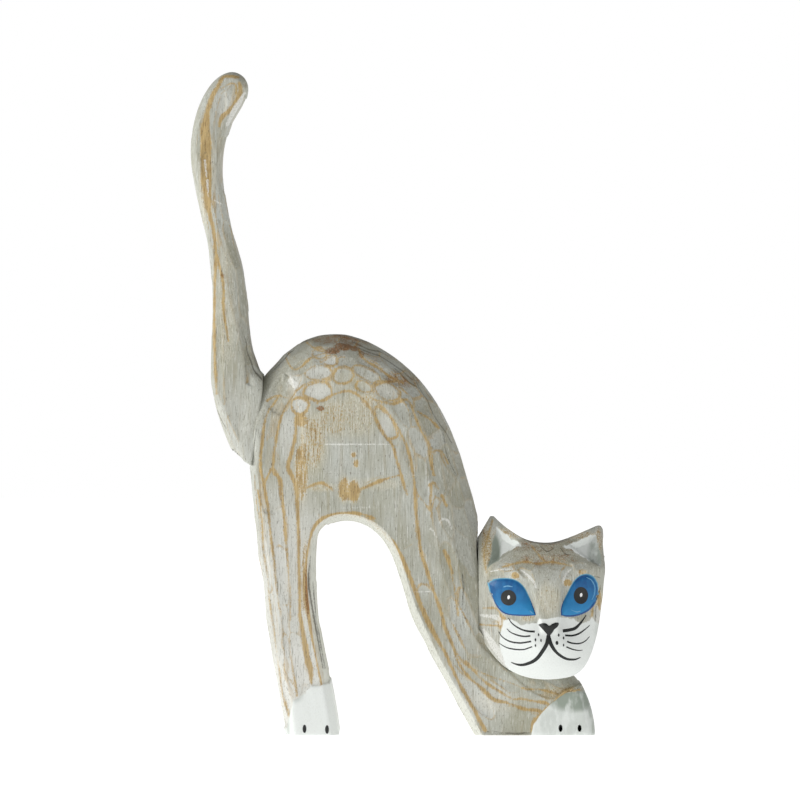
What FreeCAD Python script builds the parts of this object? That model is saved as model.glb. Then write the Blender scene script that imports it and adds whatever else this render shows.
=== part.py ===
import FreeCAD, Part
import math
import os

# Carved wooden cat in a stretching pose: one thick plank for the body, a tail
# and a head carved on their own, all joined with glue and hidden dowels.
# Millimetres, +Z up, the cat seen side-on along +Y with its head at +X.

V = FreeCAD.Vector

# Driving sizes
PLANK_THICKNESS = 60.0
PLANK_MID_Y = 7.5            # the head stands proud at the front, so the plank sits back
TAIL_TIP_Z = 400.0
TAIL_BASE_HALF_DEPTH = 28.5
TAIL_TIP_HALF_DEPTH = 12.0

# Roundings left by the knife
BACK_ROUND = 26.0
RUMP_ROUND = 12.0
ARCH_BEVEL = 4.6
PAW_ROUND = 7.0
TAIL_ROUND = 8.0

# Glue joints
TAIL_SEAM_LOW = (-88.8, 161.7)
TAIL_SEAM_HIGH = (-81.0, 215.0)
TAIL_HEEL = (-99.6, 171.0)
HEAD_SEAT = [(49.0, 140.0), (49.0, 64.0), (66.0, 39.5), (108.0, 36.5)]
DOWEL_RADIUS = 4.0
DOWEL_LENGTH = 30.0
DOWEL_GAP = 1.0              # glue space at each blind end
DOWEL_BEVEL = 1.0
DOWEL_SPACING = 24.0

FAR = 400.0                  # further than any surface of the cat


def line(start, end):
    """Straight edge between two XZ points."""
    return Part.makeLine(V(start[0], 0, start[1]), V(end[0], 0, end[1]))


def smooth(points):
    """One smooth edge through XZ points."""
    curve = Part.BSplineCurve()
    curve.interpolate([V(x, 0, z) for x, z in points])
    return curve.toShape()


def slab(edges, front_y, rear_y):
    """Solid whose front view is the closed run of edges."""
    face = Part.Face(Part.Wire(edges))
    face.translate(V(0, front_y, 0))
    return face.extrude(V(0, rear_y - front_y, 0))


def plank(edges, extra=0.0):
    """Solid of the full plank thickness, with any extra on both faces."""
    half = PLANK_THICKNESS / 2 + extra
    return slab(edges, PLANK_MID_Y - half, PLANK_MID_Y + half)


def polygon(points):
    """Closed run of straight edges."""
    return [line(a, b) for a, b in zip(points, points[1:] + points[:1])]


def face_edges(solid, curve_points, tolerance=0.2):
    """The two edges, front and rear, that pass through every given XZ point."""
    found = []
    for edge in solid.Edges:
        box = edge.BoundBox
        if box.YLength > tolerance:
            continue
        probes = [Part.Vertex(V(x, box.YMin, z)) for x, z in curve_points]
        if all(edge.distToShape(probe)[0] < tolerance for probe in probes):
            found.append(edge)
    return found


# ---------------------------------------------------------------- body plank

BACK = [(-108, 188), (-81, 215), (-61.8, 234.4), (-34.2, 241.4), (-13, 234.4), (10.5, 217),
        (33.6, 181), (45.6, 144), (53.5, 114), (64, 84), (80, 58), (98, 42), (110, 31), (116, 18), (118.6, -4)]
REAR = [(-92, 200), (-88.8, 161.7), (-86.8, 135), (-83.6, 105), (-80.4, 84), (-79.2, 72),
        (-75.8, 48), (-72, 27), (-68.4, 6), (-67.4, -5)]
ARCH = [(-34, -6), (-34.8, 0), (-39.7, 29), (-44.6, 52), (-48.4, 80), (-49, 106), (-44, 123.5),
        (-30.5, 128.6), (-13, 122), (-2.8, 107), (6, 79), (21, 46), (34.2, 22), (46.5, 0), (49.8, -6)]
PAW_TOE = [(97, 50), (108.5, 35), (114.5, 23), (118.4, 9), (119, -4)]
PAW_LINE = [(80.4, -4), (80.4, 7.5), (91, 19.5), (100.8, 26.7), (120, 33)]
PAW_PROUD = 1.0


def back_blank():
    """Plank with the long line from the back down to the toes rounded over."""
    start, end = BACK[0], BACK[-1]
    low_left = (start[0], end[1])
    blank = plank([smooth(BACK), line(end, low_left), line(low_left, start)])
    return blank.makeFillet(BACK_ROUND, face_edges(blank, BACK))


def rear_blank():
    """Block with the line from rump to hind heel rounded, a little thicker than the plank."""
    start, end = REAR[0], REAR[-1]
    top_right = (FAR, start[1] + 60)
    top_left = (start[0] - 4, start[1] + 60)
    low_right = (FAR, end[1])
    edges = [line(top_left, start), smooth(REAR), line(end, low_right),
             line(low_right, top_right), line(top_right, top_left)]
    blank = plank(edges, 1.0)
    return blank.makeFillet(RUMP_ROUND, face_edges(blank, REAR))


def paw():
    """Front paw, left a little proud of the arm by a stop-cut."""
    start, end = PAW_TOE[0], PAW_TOE[-1]
    low_left = (60, end[1])
    block = plank([smooth(PAW_TOE), line(end, low_left), line(low_left, start)], PAW_PROUD)
    block = block.makeFillet(PAW_ROUND, face_edges(block, PAW_TOE))
    above = PAW_LINE + [(120, FAR), (-FAR, FAR), (-FAR, PAW_LINE[0][1])]
    return block.cut(slab(polygon(above), -FAR, FAR))


def tail_side():
    """Everything on the tail's side of the tail seam."""
    (low_x, low_z), (high_x, high_z) = TAIL_SEAM_LOW, TAIL_SEAM_HIGH
    rise = high_z - low_z
    lean = (high_x - low_x) / rise
    reach = 120.0
    bottom = (low_x, low_z)
    top = (low_x + lean * reach, low_z + reach)
    return slab(polygon([bottom, top, (-FAR, top[1]), (-FAR, low_z)]), -FAR, FAR)


def head_side(front_y=-FAR):
    """Everything on the head's side of the head seat, from a given depth back."""
    return slab(polygon(HEAD_SEAT + [(FAR, 36.5), (FAR, 140.0)]), front_y, FAR)


def dowel_axis(joint):
    """Middle point and direction of a joint's dowels."""
    if joint == "tail":
        (x0, z0), (x1, z1) = TAIL_SEAM_LOW, TAIL_SEAM_HIGH
        middle = V((x0 + x1) / 2, PLANK_MID_Y, (z0 + z1) / 2)
        return middle, V(z1 - z0, 0, x0 - x1).normalize()
    return V(HEAD_SEAT[1][0], PLANK_MID_Y - 8, 84.0), V(1, 0, 0)


def dowel(joint, side, spare=0.0):
    """One dowel, or with spare length its blind bore; side is -1 or 1."""
    middle, along = dowel_axis(joint)
    across = V(0, 1, 0) if joint == "tail" else V(0, 0, 1)
    length = DOWEL_LENGTH + 2 * spare
    start = middle + across * (side * DOWEL_SPACING / 2) - along * (length / 2)
    return Part.makeCylinder(DOWEL_RADIUS, length, start, along)


def bevelled_dowel(joint, side):
    """A dowel with both end rims bevelled so that it starts easily in its bore."""
    peg = dowel(joint, side)
    rims = [edge for edge in peg.Edges if edge.Closed and len(edge.Vertexes) == 1]
    return peg.makeChamfer(DOWEL_BEVEL, rims)


def bored(solid, joint):
    """The solid with a joint's two blind dowel bores."""
    for side in (-1, 1):
        solid = solid.cut(dowel(joint, side, DOWEL_GAP))
    return solid


def make_body():
    """Back, hind leg, front leg and both paws from one plank."""
    solid = back_blank().common(rear_blank())
    start, end = ARCH[0], ARCH[-1]
    solid = solid.cut(slab([smooth(ARCH), line(end, start)], -FAR, FAR))
    solid = solid.makeChamfer(ARCH_BEVEL, face_edges(solid, ARCH[1:-1]))
    solid = solid.fuse(paw())
    solid = solid.cut(slab(polygon([(-FAR, 0), (FAR, 0), (FAR, -FAR), (-FAR, -FAR)]), -FAR, FAR))
    solid = solid.cut(head_side())
    solid = solid.cut(tail_side())
    solid = bored(solid, "tail")
    return bored(solid, "head")


# ---------------------------------------------------------------------- tail

TAIL = [TAIL_HEEL, (-106.8, 189), (-111.6, 208), (-111.6, 250), (-112.8, 279), (-119, 315),
        (-124.9, 351), (-122.6, 371), (-115.2, 389), (-107, 397.7), (-99, 400), (-91.5, 395),
        (-90.8, 387), (-99.8, 369), (-105.2, 348), (-103, 318), (-94, 282), (-90.2, 255),
        (-88, 236), TAIL_SEAM_HIGH]


def tail_blank():
    """Tail cut out square, deep at the rump and slim at the tip."""
    blank = slab([smooth(TAIL), line(TAIL_SEAM_HIGH, TAIL_SEAM_LOW), line(TAIL_SEAM_LOW, TAIL_HEEL)],
                 -FAR, FAR)
    low, high = TAIL_SEAM_LOW[1] - 5, TAIL_TIP_Z + 5
    base, tip = TAIL_BASE_HALF_DEPTH, TAIL_TIP_HALF_DEPTH
    taper = [V(-FAR, PLANK_MID_Y - base, low), V(-FAR, PLANK_MID_Y + base, low),
             V(-FAR, PLANK_MID_Y + tip, high), V(-FAR, PLANK_MID_Y - tip, high)]
    wedge = Part.Face(Part.makePolygon(taper + taper[:1])).extrude(V(2 * FAR, 0, 0))
    return blank.common(wedge)


def make_tail():
    """Long upright tail with its corners rounded off, flat where it meets the rump."""
    solid = tail_blank()
    corners = []
    for edge in solid.Edges:
        middle = edge.valueAt((edge.FirstParameter + edge.LastParameter) / 2)
        if middle.z > TAIL_SEAM_HIGH[1] and abs(middle.y - PLANK_MID_Y) > 5:
            corners.append(edge)
    solid = solid.makeFillet(TAIL_ROUND, corners)
    return bored(solid, "tail")


# ---------------------------------------------------------------------- head

LEFT_EAR = [(49.2, 118.2), (56.4, 130.9), (58.6, 131.0)]
CROWN = [(58.6, 131.0), (63.8, 126.0), (70.7, 120.9), (77.6, 117.0), (86, 114.9), (95, 115), (103.6, 117.6),
         (112.8, 121.4), (121.2, 125.1)]
RIGHT_EAR = [(121.2, 125.1), (123.2, 125.2), (124.4, 123.4)]
JAW = [(124.4, 123.4), (124.9, 106), (124.4, 91), (122.8, 80), (121, 67), (118, 54.5), (113.6, 44), (107.8, 37.6),
       (101, 35.2), (91, 34.1), (80.5, 34.8), (71, 37.8), (63, 42.8), (56, 50.6), (50.2, 60.4), (49.0, 66.5)]
LEFT_SIDE = [(49.0, 66.5), (49.0, 118.2), (49.2, 118.2)]
LAP_DEPTH = -30.0            # in front of this the jaw laps over the arm's front face

# Depths are measured from the middle of the plank, negative to the front
HEAD_SIDE_PROFILE = [(-30, 33.5), (-38, 34.5), (-44, 42), (-46, 56), (-45, 70), (-43, 92), (-38, 106),
                     (-26, 119), (-18, 131.5), (-9, 131.5), (1, 117), (11, 108), (11, 33.5)]
HEAD_PLAN = [(56, 11), (117, 11), (125.5, 2), (125.5, -27), (114, -39), (99, -46), (76, -46),
             (60, -39), (48, -27), (48, 2)]

# Middle, length, height and tilt of each eye
EYES = [(69.0, 83.2, 34.5, 16.5, -34.0), (109.6, 84.3, 32.0, 17.5, 41.0)]
EYE_DOME_RADIUS = 34.0
EYE_FRONT_DEPTH = -45.2

# Tip, outer foot and inner foot of each ear's hollow
EAR_HOLLOWS = [((60.5, 125.5), (54.5, 106.5), (76.0, 114.5)), ((120.5, 121.5), (116.5, 107.0), (99.5, 113.5))]
EAR_HOLLOW_DEPTH = 7.0


def prism_along_x(profile):
    """Solid as wide as the head from a side view given as depth and height."""
    points = [V(0, PLANK_MID_Y + depth, z) for depth, z in profile]
    return Part.Face(Part.makePolygon(points + points[:1])).extrude(V(FAR, 0, 0))


def prism_along_z(plan):
    """Solid taller than the head from a plan view."""
    points = [V(x, PLANK_MID_Y + depth, 0) for x, depth in plan]
    return Part.Face(Part.makePolygon(points + points[:1])).extrude(V(0, 0, FAR))


def eye(x, z, length, height, tilt):
    """Raised almond: two crossing cylinders trimmed by a shallow dome."""
    radius = (length ** 2 + height ** 2) / (4 * height)
    offset = radius - height / 2
    almond = None
    for side in (-1, 1):
        start = V(0, -60, side * offset)
        disc = Part.makeCylinder(radius, 60, start, V(0, 1, 0))
        almond = disc if almond is None else almond.common(disc)
    almond.rotate(V(0, 0, 0), V(0, 1, 0), -tilt)
    almond.translate(V(x, PLANK_MID_Y, z))
    dome_y = PLANK_MID_Y + EYE_FRONT_DEPTH + EYE_DOME_RADIUS
    return almond.common(Part.makeSphere(EYE_DOME_RADIUS, V(x, dome_y, z)))


def ear_hollow(tip, outer, inner):
    """Three-sided pit scooped into the front of an ear."""
    front = PLANK_MID_Y - 60
    middle_x = (tip[0] + outer[0] + inner[0]) / 3
    middle_z = (tip[1] + outer[1] + inner[1]) / 3
    deep = V(middle_x, PLANK_MID_Y - 24 + EAR_HOLLOW_DEPTH, middle_z)
    reach = 60 - 24 + EAR_HOLLOW_DEPTH
    rim_share = reach / EAR_HOLLOW_DEPTH
    corners = []
    for x, z in (tip, outer, inner):
        corners.append(V(middle_x + (x - middle_x) * rim_share, front, middle_z + (z - middle_z) * rim_share))
    faces = [Part.Face(Part.makePolygon(corners + corners[:1]))]
    for a, b in zip(corners, corners[1:] + corners[:1]):
        faces.append(Part.Face(Part.makePolygon([a, b, deep, a])))
    return Part.Solid(Part.Shell(faces))


def make_head():
    """Head block with two ears, seated against the front leg and on the forearm."""
    edges = polygon(LEFT_EAR)[:-1] + [smooth(CROWN)] + polygon(RIGHT_EAR)[:-1]
    edges += [smooth(JAW)] + polygon(LEFT_SIDE)[:-1]
    solid = slab(edges, -FAR, FAR)
    solid = solid.common(prism_along_x(HEAD_SIDE_PROFILE))
    solid = solid.common(prism_along_z(HEAD_PLAN))
    for sizes in EYES:
        solid = solid.fuse(eye(*sizes))
    for corners in EAR_HOLLOWS:
        solid = solid.cut(ear_hollow(*corners))
    seat_front = PLANK_MID_Y + LAP_DEPTH
    behind = solid.common(head_side(seat_front))
    lap = solid.common(slab(polygon([(-FAR, -FAR), (FAR, -FAR), (FAR, FAR), (-FAR, FAR)]), -FAR, seat_front))
    return bored(behind.fuse(lap), "head")


def main():
    os.makedirs("parts", exist_ok=True)
    nodes = {"body": make_body(), "tail": make_tail(), "head": make_head()}
    for joint in ("tail", "head"):
        for number, side in ((1, -1), (2, 1)):
            nodes["%s_dowel_%d" % (joint, number)] = bevelled_dowel(joint, side)
    for name, shape in nodes.items():
        shape.exportStep("parts/%s.step" % name)


main()
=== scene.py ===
import math
import random
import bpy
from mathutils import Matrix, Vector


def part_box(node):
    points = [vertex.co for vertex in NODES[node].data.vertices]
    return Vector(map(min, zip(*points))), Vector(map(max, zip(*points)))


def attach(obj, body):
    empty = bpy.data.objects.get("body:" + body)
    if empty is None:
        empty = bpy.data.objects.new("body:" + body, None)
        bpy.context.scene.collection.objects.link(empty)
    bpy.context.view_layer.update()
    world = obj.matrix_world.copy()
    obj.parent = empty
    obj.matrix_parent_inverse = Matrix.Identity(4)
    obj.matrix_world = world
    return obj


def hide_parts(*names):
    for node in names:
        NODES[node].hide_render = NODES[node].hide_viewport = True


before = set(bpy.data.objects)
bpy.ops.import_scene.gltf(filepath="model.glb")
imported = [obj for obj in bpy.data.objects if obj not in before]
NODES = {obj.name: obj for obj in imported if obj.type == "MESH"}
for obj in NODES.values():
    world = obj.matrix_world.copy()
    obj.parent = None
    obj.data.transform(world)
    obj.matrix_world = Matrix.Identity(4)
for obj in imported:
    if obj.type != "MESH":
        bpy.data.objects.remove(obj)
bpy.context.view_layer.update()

from types import SimpleNamespace

import bpy
import numpy as np
from mathutils import Vector
from mathutils.bvhtree import BVHTree

# A whittled, whitewashed wooden cat. The three carved pieces start from their CAD nodes, are given
# fine even meshes, and are then cut facet by facet. Lengths are in millimetres until a mesh or an
# object is written, when MM turns them into metres.

MM = 0.001
rng = random.Random(7)


def node_box(name):
    """Lowest and highest corner of a CAD node in millimetres."""
    low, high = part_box(name)
    return np.array(low) / MM, np.array(high) / MM


BODY_LOW, BODY_HIGH = node_box("body")
MID_Y = (BODY_LOW[1] + BODY_HIGH[1]) / 2
HALF_PLANK = 30.0                    # the front paw stands 1 mm proud of it on both faces
FRONT_Y = MID_Y - HALF_PLANK
FAR = 9.0                            # a distance that stands for "nothing near here"

# Edge of the even mesh's cells
VOXEL = {"body": 0.85, "tail": 0.7, "head": 0.55}


# ------------------------------------------------------------------ meshes as arrays


class Carving:
    """A fine mesh of one CAD node, with its points and normals in millimetres."""

    def __init__(self, node):
        source = NODES[node]
        self.obj = source.copy()
        self.obj.data = source.data.copy()
        self.obj.name = "carved_" + node
        bpy.context.scene.collection.objects.link(self.obj)
        remesh = self.obj.modifiers.new("even mesh", "REMESH")
        remesh.mode = "VOXEL"
        remesh.voxel_size = VOXEL[node] * MM * 1.0
        remesh.adaptivity = 0.0
        graph = bpy.context.evaluated_depsgraph_get()
        mesh = bpy.data.meshes.new_from_object(self.obj.evaluated_get(graph))
        self.obj.modifiers.clear()
        self.obj.data = mesh
        mesh.materials.clear()
        for name in [a.name for a in mesh.attributes if not a.is_required and not a.is_internal]:
            if name != "position":
                mesh.attributes.remove(mesh.attributes[name])
        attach(self.obj, "root")
        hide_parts(node)
        self.read()
        self.low, self.high = node_box(node)

    def read(self):
        mesh = self.obj.data
        points = np.empty(len(mesh.vertices) * 3)
        mesh.vertices.foreach_get("co", points)
        self.points = points.reshape(-1, 3) / MM
        edges = np.empty(len(mesh.edges) * 2, dtype=np.int64)
        mesh.edges.foreach_get("vertices", edges)
        self.edges = edges.reshape(-1, 2)
        self.refresh_normals()

    def refresh_normals(self):
        mesh = self.obj.data
        normals = np.empty(len(mesh.vertices) * 3)
        mesh.vertex_normals.foreach_get("vector", normals)
        self.normals = normals.reshape(-1, 3)

    def write(self):
        """Puts the points back, kept inside the CAD node's own box."""
        self.points = np.clip(self.points, self.low, self.high)
        self.obj.data.vertices.foreach_set("co", (self.points * MM).ravel())
        self.obj.data.update()
        self.refresh_normals()

    def spread(self, values, rounds):
        """Averages a value over each vertex's neighbours, a few times over."""
        a, b = self.edges[:, 0], self.edges[:, 1]
        count = np.bincount(a, minlength=len(values)) + np.bincount(b, minlength=len(values))
        for _ in range(rounds):
            total = np.bincount(a, values[b], len(values)) + np.bincount(b, values[a], len(values))
            values = (values + total) / (1 + count)
        return values

    def tree(self):
        mesh = self.obj.data
        faces = [tuple(p.vertices) for p in mesh.polygons]
        return BVHTree.FromPolygons([tuple(p) for p in self.points], faces)

    def attribute(self, name, values):
        store_attribute(self.obj.data, name, values)


def store_attribute(mesh, name, values):
    """One number per vertex, for the shader to read."""
    layer = mesh.attributes.new(name, "FLOAT", "POINT")
    layer.data.foreach_set("value", np.asarray(values, dtype=np.float32))


def smoothstep(low, high, x):
    t = np.clip((x - low) / (high - low), 0.0, 1.0)
    return t * t * (3 - 2 * t)


# ------------------------------------------------------------------ knife cuts


class Cut:
    """One pass of the knife: a shallow, slightly hollow facet on the surface."""

    def __init__(self, centre, normal, along, length, width, depth, hollow):
        self.centre = np.array(centre, dtype=float)
        self.normal = np.array(normal, dtype=float)
        self.normal /= np.linalg.norm(self.normal)
        along = np.array(along, dtype=float)
        along -= self.normal * along.dot(self.normal)
        self.along = along / max(np.linalg.norm(along), 1e-6)
        self.across = np.cross(self.normal, self.along)
        self.length = length
        self.width = width
        self.depth = depth
        self.hollow = hollow
        self.tone = rng.uniform(-1, 1)


def snap(tree, point, tilt):
    """The surface point nearest to a point, and its normal a little tilted."""
    place, normal, _, _ = tree.find_nearest(Vector(point))
    jitter = np.array([rng.gauss(0, tilt) for _ in range(3)])
    return np.array(place), np.array(normal) + jitter


LEAST_FACING = 0.4                   # a cut reaches only surfaces turned at least this much its way
WIDEST_SPREAD = 4.0                  # and only this far out, as a squared share of its own size
RIM_SPREAD = 1.5                     # from here outward its floor climbs steeply
DEEPEST = 1.8                        # limit of its depth at any vertex, in times its own depth
FLAT_TURN, RIDGE_TURN = 0.05, 0.16   # how sharply two facets must meet to make a ridge


def whittle(carving, cuts, keep):
    """Cuts every facet; each vertex ends on the deepest cut that reaches it.

    Where keep is 1 the surface stays as it is. Also notes each vertex's tone and how far it lies from
    the nearest ridge between two facets.
    """
    points, normals = carving.points, carving.normals
    size = len(points)
    first, second = np.zeros(size), np.zeros(size)
    lean_first, lean_second = np.zeros((size, 3)), np.zeros((size, 3))
    tone = np.zeros(size)
    for cut in cuts:
        reach = max(cut.length, cut.width)
        near = np.where(np.all(np.abs(points - cut.centre) < reach, axis=1))[0]
        offset = points[near] - cut.centre
        facing = normals[near] @ cut.normal
        u = offset @ cut.along / (cut.length / 2)
        w = offset @ cut.across / (cut.width / 2)
        inside = (facing > LEAST_FACING) & (u * u + w * w < WIDEST_SPREAD)
        near, offset, facing, u, w = near[inside], offset[inside], facing[inside], u[inside], w[inside]
        spread = u * u + w * w
        rim = np.maximum(spread - RIM_SPREAD, 0)
        floor = cut.depth * (cut.hollow * spread - 1 + rim * rim)
        move = np.maximum((floor - offset @ cut.normal) / facing, -DEEPEST * cut.depth)
        steep = 2 * cut.depth * (cut.hollow + 2 * rim)
        lean = (steep * u / (cut.length / 2))[:, None] * cut.along
        lean += (steep * w / (cut.width / 2))[:, None] * cut.across
        lean = (lean - cut.normal) / facing[:, None]
        deeper = move < first[near]
        to = near[deeper]
        second[to], lean_second[to] = first[to], lean_first[to]
        first[to], lean_first[to], tone[to] = move[deeper], lean[deeper], cut.tone
        middling = ~deeper & (move < second[near])
        to = near[middling]
        second[to], lean_second[to] = move[middling], lean[middling]
    turn = lean_first - lean_second
    turn -= normals * np.sum(turn * normals, axis=1)[:, None]
    turn = np.linalg.norm(turn, axis=1)
    ridge = (second - first) / np.maximum(turn, 0.02)
    ridge += 4.0 * smoothstep(RIDGE_TURN, FLAT_TURN, turn)
    carving.ridge = np.where(first < -0.02, ridge, FAR) + FAR * keep
    carving.tone = tone * (1 - keep)
    carving.points = points + normals * (first * (1 - keep))[:, None]
    carving.write()


def add_cut(cuts, tree, target, along, length, width, depth, hollow=0.5, tilt=0.04):
    centre, normal = snap(tree, target, tilt)
    cuts.append(Cut(centre, normal, along, length, width, depth, hollow))


def both_faces(cuts, tree, x, z, along, length, width, depth, tilt=0.03):
    """The same facet on the front and on the rear of the plank."""
    for side in (-1, 1):
        target = (x, MID_Y + side * (HALF_PLANK + 2), z)
        add_cut(cuts, tree, target, (along[0], 0, along[1]), length, width, depth, 0.55, tilt)


def crossings(tree, z, y):
    """X of each surface crossing of a level line along X."""
    found = []
    x = -400.0
    while True:
        hit = tree.ray_cast(Vector((x, y, z)), Vector((1, 0, 0)))
        if hit[0] is None:
            return found
        found.append(hit[0].x)
        x = hit[0].x + 0.5


BACK_CENTRE = (-22.0, 158.0)         # x and z of the point that the back curves round
BACK_ROUND = 26.0                    # radius of the back's rounded edges
# Turn from the plank's face, length of a facet, and the sector of the back that each row covers
BACK_ROWS = [(90, 17.0, 158, -36), (64, 14.0, 158, -36), (40, 13.0, 62, -36), (16, 22.0, 24, -30)]


def back_cuts(tree, cuts):
    """Rows of scooped facets over the round of the back."""
    for turn, pitch, start_angle, end_angle in BACK_ROWS:
        for side in (-1, 1):
            if turn == 90 and side == 1:
                continue
            angle = start_angle - rng.uniform(0, 5)
            while angle > end_angle:
                a = math.radians(angle)
                out = np.array([math.cos(a), 0, math.sin(a)])
                start = np.array([BACK_CENTRE[0], MID_Y, BACK_CENTRE[1]]) + out * 300
                radius = 300 - tree.ray_cast(Vector(start), Vector(-out))[3]
                t = math.radians(turn + rng.uniform(-5, 5))
                out_by = radius - BACK_ROUND + (BACK_ROUND + 4) * math.sin(t)
                depth_y = side * (HALF_PLANK - BACK_ROUND + (BACK_ROUND + 4) * math.cos(t))
                target = np.array([BACK_CENTRE[0], MID_Y + depth_y, BACK_CENTRE[1]]) + out * out_by
                size = pitch * rng.uniform(0.8, 1.3)
                add_cut(cuts, tree, target, (-out[2], 0, out[0]), size * 1.05, 14.0, 1.15, 0.3)
                angle -= math.degrees(size / max(out_by, 40.0))


# Facets on the flank and over the rump: x, z, length, width, and the length's rise in degrees
FLANK_FACETS = [
    (-66, 179.7, 37, 11.5, 84), (-58.4, 198, 11, 10, 60), (-47.4, 206.6, 17, 11, 25),
    (-63.2, 212, 13, 8, 65), (-77, 176, 36, 7, 88), (-72.5, 199, 18, 9, 62), (-46.7, 217.6, 17, 9, 15),
    (-32.2, 216.2, 13, 10, 0), (-17.7, 216.9, 17, 9, -30), (-20.5, 209.3, 11, 6.5, -25),
    (-6, 206.6, 17, 10.5, -35), (-46.7, 229.3, 9, 6.5, 10), (-40.5, 225.2, 11, 6.5, 5),
    (-48.7, 236.6, 14, 5, 15), (-6.7, 187.3, 22, 8.5, -62), (-59, 223, 16, 9, 38), (-31, 226, 14, 7, 0),
    (-15, 226.5, 16, 7, -22), (0, 217.5, 16, 8, -38), (4.5, 193, 24, 9, -66), (8, 169, 28, 7, -76),
    (15.5, 182, 26, 10, -66), (17, 152, 34, 8.5, -82), (8, 205, 14, 8, -48)]


def flank_cuts(tree, cuts):
    """The facets listed above, front and rear."""
    for x, z, length, width, rise in FLANK_FACETS:
        a = math.radians(rise)
        both_faces(cuts, tree, x, z, (math.cos(a), math.sin(a)), length, width, 0.85, 0.02)


def resample(points, count):
    """Points evenly spaced along a run of XZ points."""
    p = np.array(points, dtype=float)
    run = np.concatenate([[0], np.cumsum(np.hypot(*np.diff(p, axis=0).T))])
    at = np.linspace(0, run[-1], count)
    return np.stack([np.interp(at, run, p[:, 0]), np.interp(at, run, p[:, 1])], axis=1)


def lane_cuts(tree, cuts, lines, depth, pitch):
    """Chains of long facets in the lanes between neighbouring lines."""
    for left, right in zip(lines, lines[1:]):
        run = np.hypot(*np.diff(np.array(left, dtype=float), axis=0).T).sum()
        count = max(int(run / pitch), 3)
        a, b = resample(left, count), resample(right, count)
        middle = (a + b) / 2
        for k in range(count):
            ahead = middle[min(k + 1, count - 1)] - middle[max(k - 1, 0)]
            width = np.hypot(*(b[k] - a[k]))
            length = pitch * rng.uniform(1.4, 1.8)
            both_faces(cuts, tree, middle[k][0], middle[k][1], ahead, length, width * 1.1, depth)


def side_cuts(tree, cuts, heights, which, half_depth, depth=0.75):
    """Facets on a narrow face that looks along X: the one that a level line meets as number which."""
    low, high = heights
    for lane in (-0.62, 0.0, 0.62):
        z = high - rng.uniform(0, 14)
        while z > low + 6:
            length = rng.uniform(20, 34)
            middle = z - length / 2
            half = half_depth(middle)
            found = crossings(tree, middle, MID_Y + lane * half)
            if which < len(found):
                target = (found[which], MID_Y + lane * half, middle)
                add_cut(cuts, tree, target, (0, 0, 1), length * 1.1, half * 0.62, depth, 0.5, 0.03)
            z -= length


def plank_half(z):
    """Half depth of the plank, the same at every height."""
    return HALF_PLANK


def tail_half(z):
    """Half depth of the tail, which tapers toward its tip."""
    return np.interp(z, (160.0, 400.0), (28.0, 12.0))


def corner_cuts(tree, cuts):
    """Flat facets along the tail's inner corners, front and rear."""
    for z in np.arange(214, 300, 19.0):
        found = crossings(tree, z, MID_Y)
        for side in (-1, 1):
            target = (found[1] - 1.0, MID_Y + side * (tail_half(z) - 1.0), z)
            add_cut(cuts, tree, target, (-0.2, 0, 1), 27, 11.0, 1.3, 0.2, 0.02)


# The ridges that run down the limbs and the tail, seen from the front, each from its top
HIND_RIDGES = [
    [(-88, 153), (-85.5, 130), (-82.5, 105), (-79.8, 80), (-76.5, 58), (-72.5, 36), (-69, 15),
     (-66.5, 2)],
    [(-84.3, 147.3), (-81.8, 133.4), (-80.3, 108.5), (-77.8, 93.6), (-75.8, 73.7), (-73.3, 58.8),
     (-70.8, 38.9), (-69.3, 26), (-67.3, 18), (-65.4, 11)],
    [(-80.1, 150.8), (-77.8, 138.4), (-75.8, 120.5), (-73.8, 105.6), (-72.8, 93.6), (-70.8, 77.7),
     (-68.1, 61.8), (-68, 46), (-66, 35), (-62.4, 28), (-58, 8)],
    [(-69.8, 153.3), (-68.5, 138.4), (-67.1, 123.5), (-65.9, 108.5), (-64.9, 93.6), (-63.9, 83.7),
     (-64.4, 68.8), (-64.1, 52), (-62, 34), (-59.5, 24), (-52, 6)],
    [(-61.9, 153.3), (-59.9, 143.4), (-59.2, 123.5), (-58.9, 103.6), (-58.4, 88.7), (-58.2, 73),
     (-55.9, 58.8), (-54.4, 48.9), (-51.9, 38.9), (-50.5, 27), (-46, 6)],
    [(-50.5, 134), (-52.4, 113.5), (-54.4, 98.6), (-54.2, 86), (-52.4, 73.7), (-49.9, 58.8), (-47, 44),
     (-44, 28), (-39, 6)]]
ARM_RIDGES = [
    [(-7, 120), (-1.1, 114), (4.7, 102.4), (10.5, 87.9), (16.3, 73.3), (22.1, 61.7), (29.4, 48.6),
     (36.7, 32.6), (43.9, 19.5), (53, 3)],
    [(10.5, 150.4), (11.2, 135.9), (12.7, 122.8), (14.1, 111.1), (17.8, 99.5), (22.1, 86.4),
     (26.5, 73.3), (29.4, 63.2), (33.8, 53), (36.7, 44.3), (42.5, 35.5), (51.2, 28.3), (57, 22.4),
     (66, 19.5), (80.3, 15.2)],
    [(20.7, 150.4), (20, 135.9), (22.5, 122), (26.5, 106), (30, 90), (34, 70), (38.5, 56), (48.3, 41),
     (59.9, 31.2), (73, 26.8), (87.6, 25.3)],
    [(31, 150), (31.5, 135), (34, 120), (37, 100), (40, 80), (44.5, 62), (52, 49), (62, 40), (76, 35),
     (92, 34)],
    [(44, 146), (47, 130), (49, 112), (49, 92), (50, 70), (56, 56), (66, 45), (80, 40), (95, 38)]]
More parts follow.
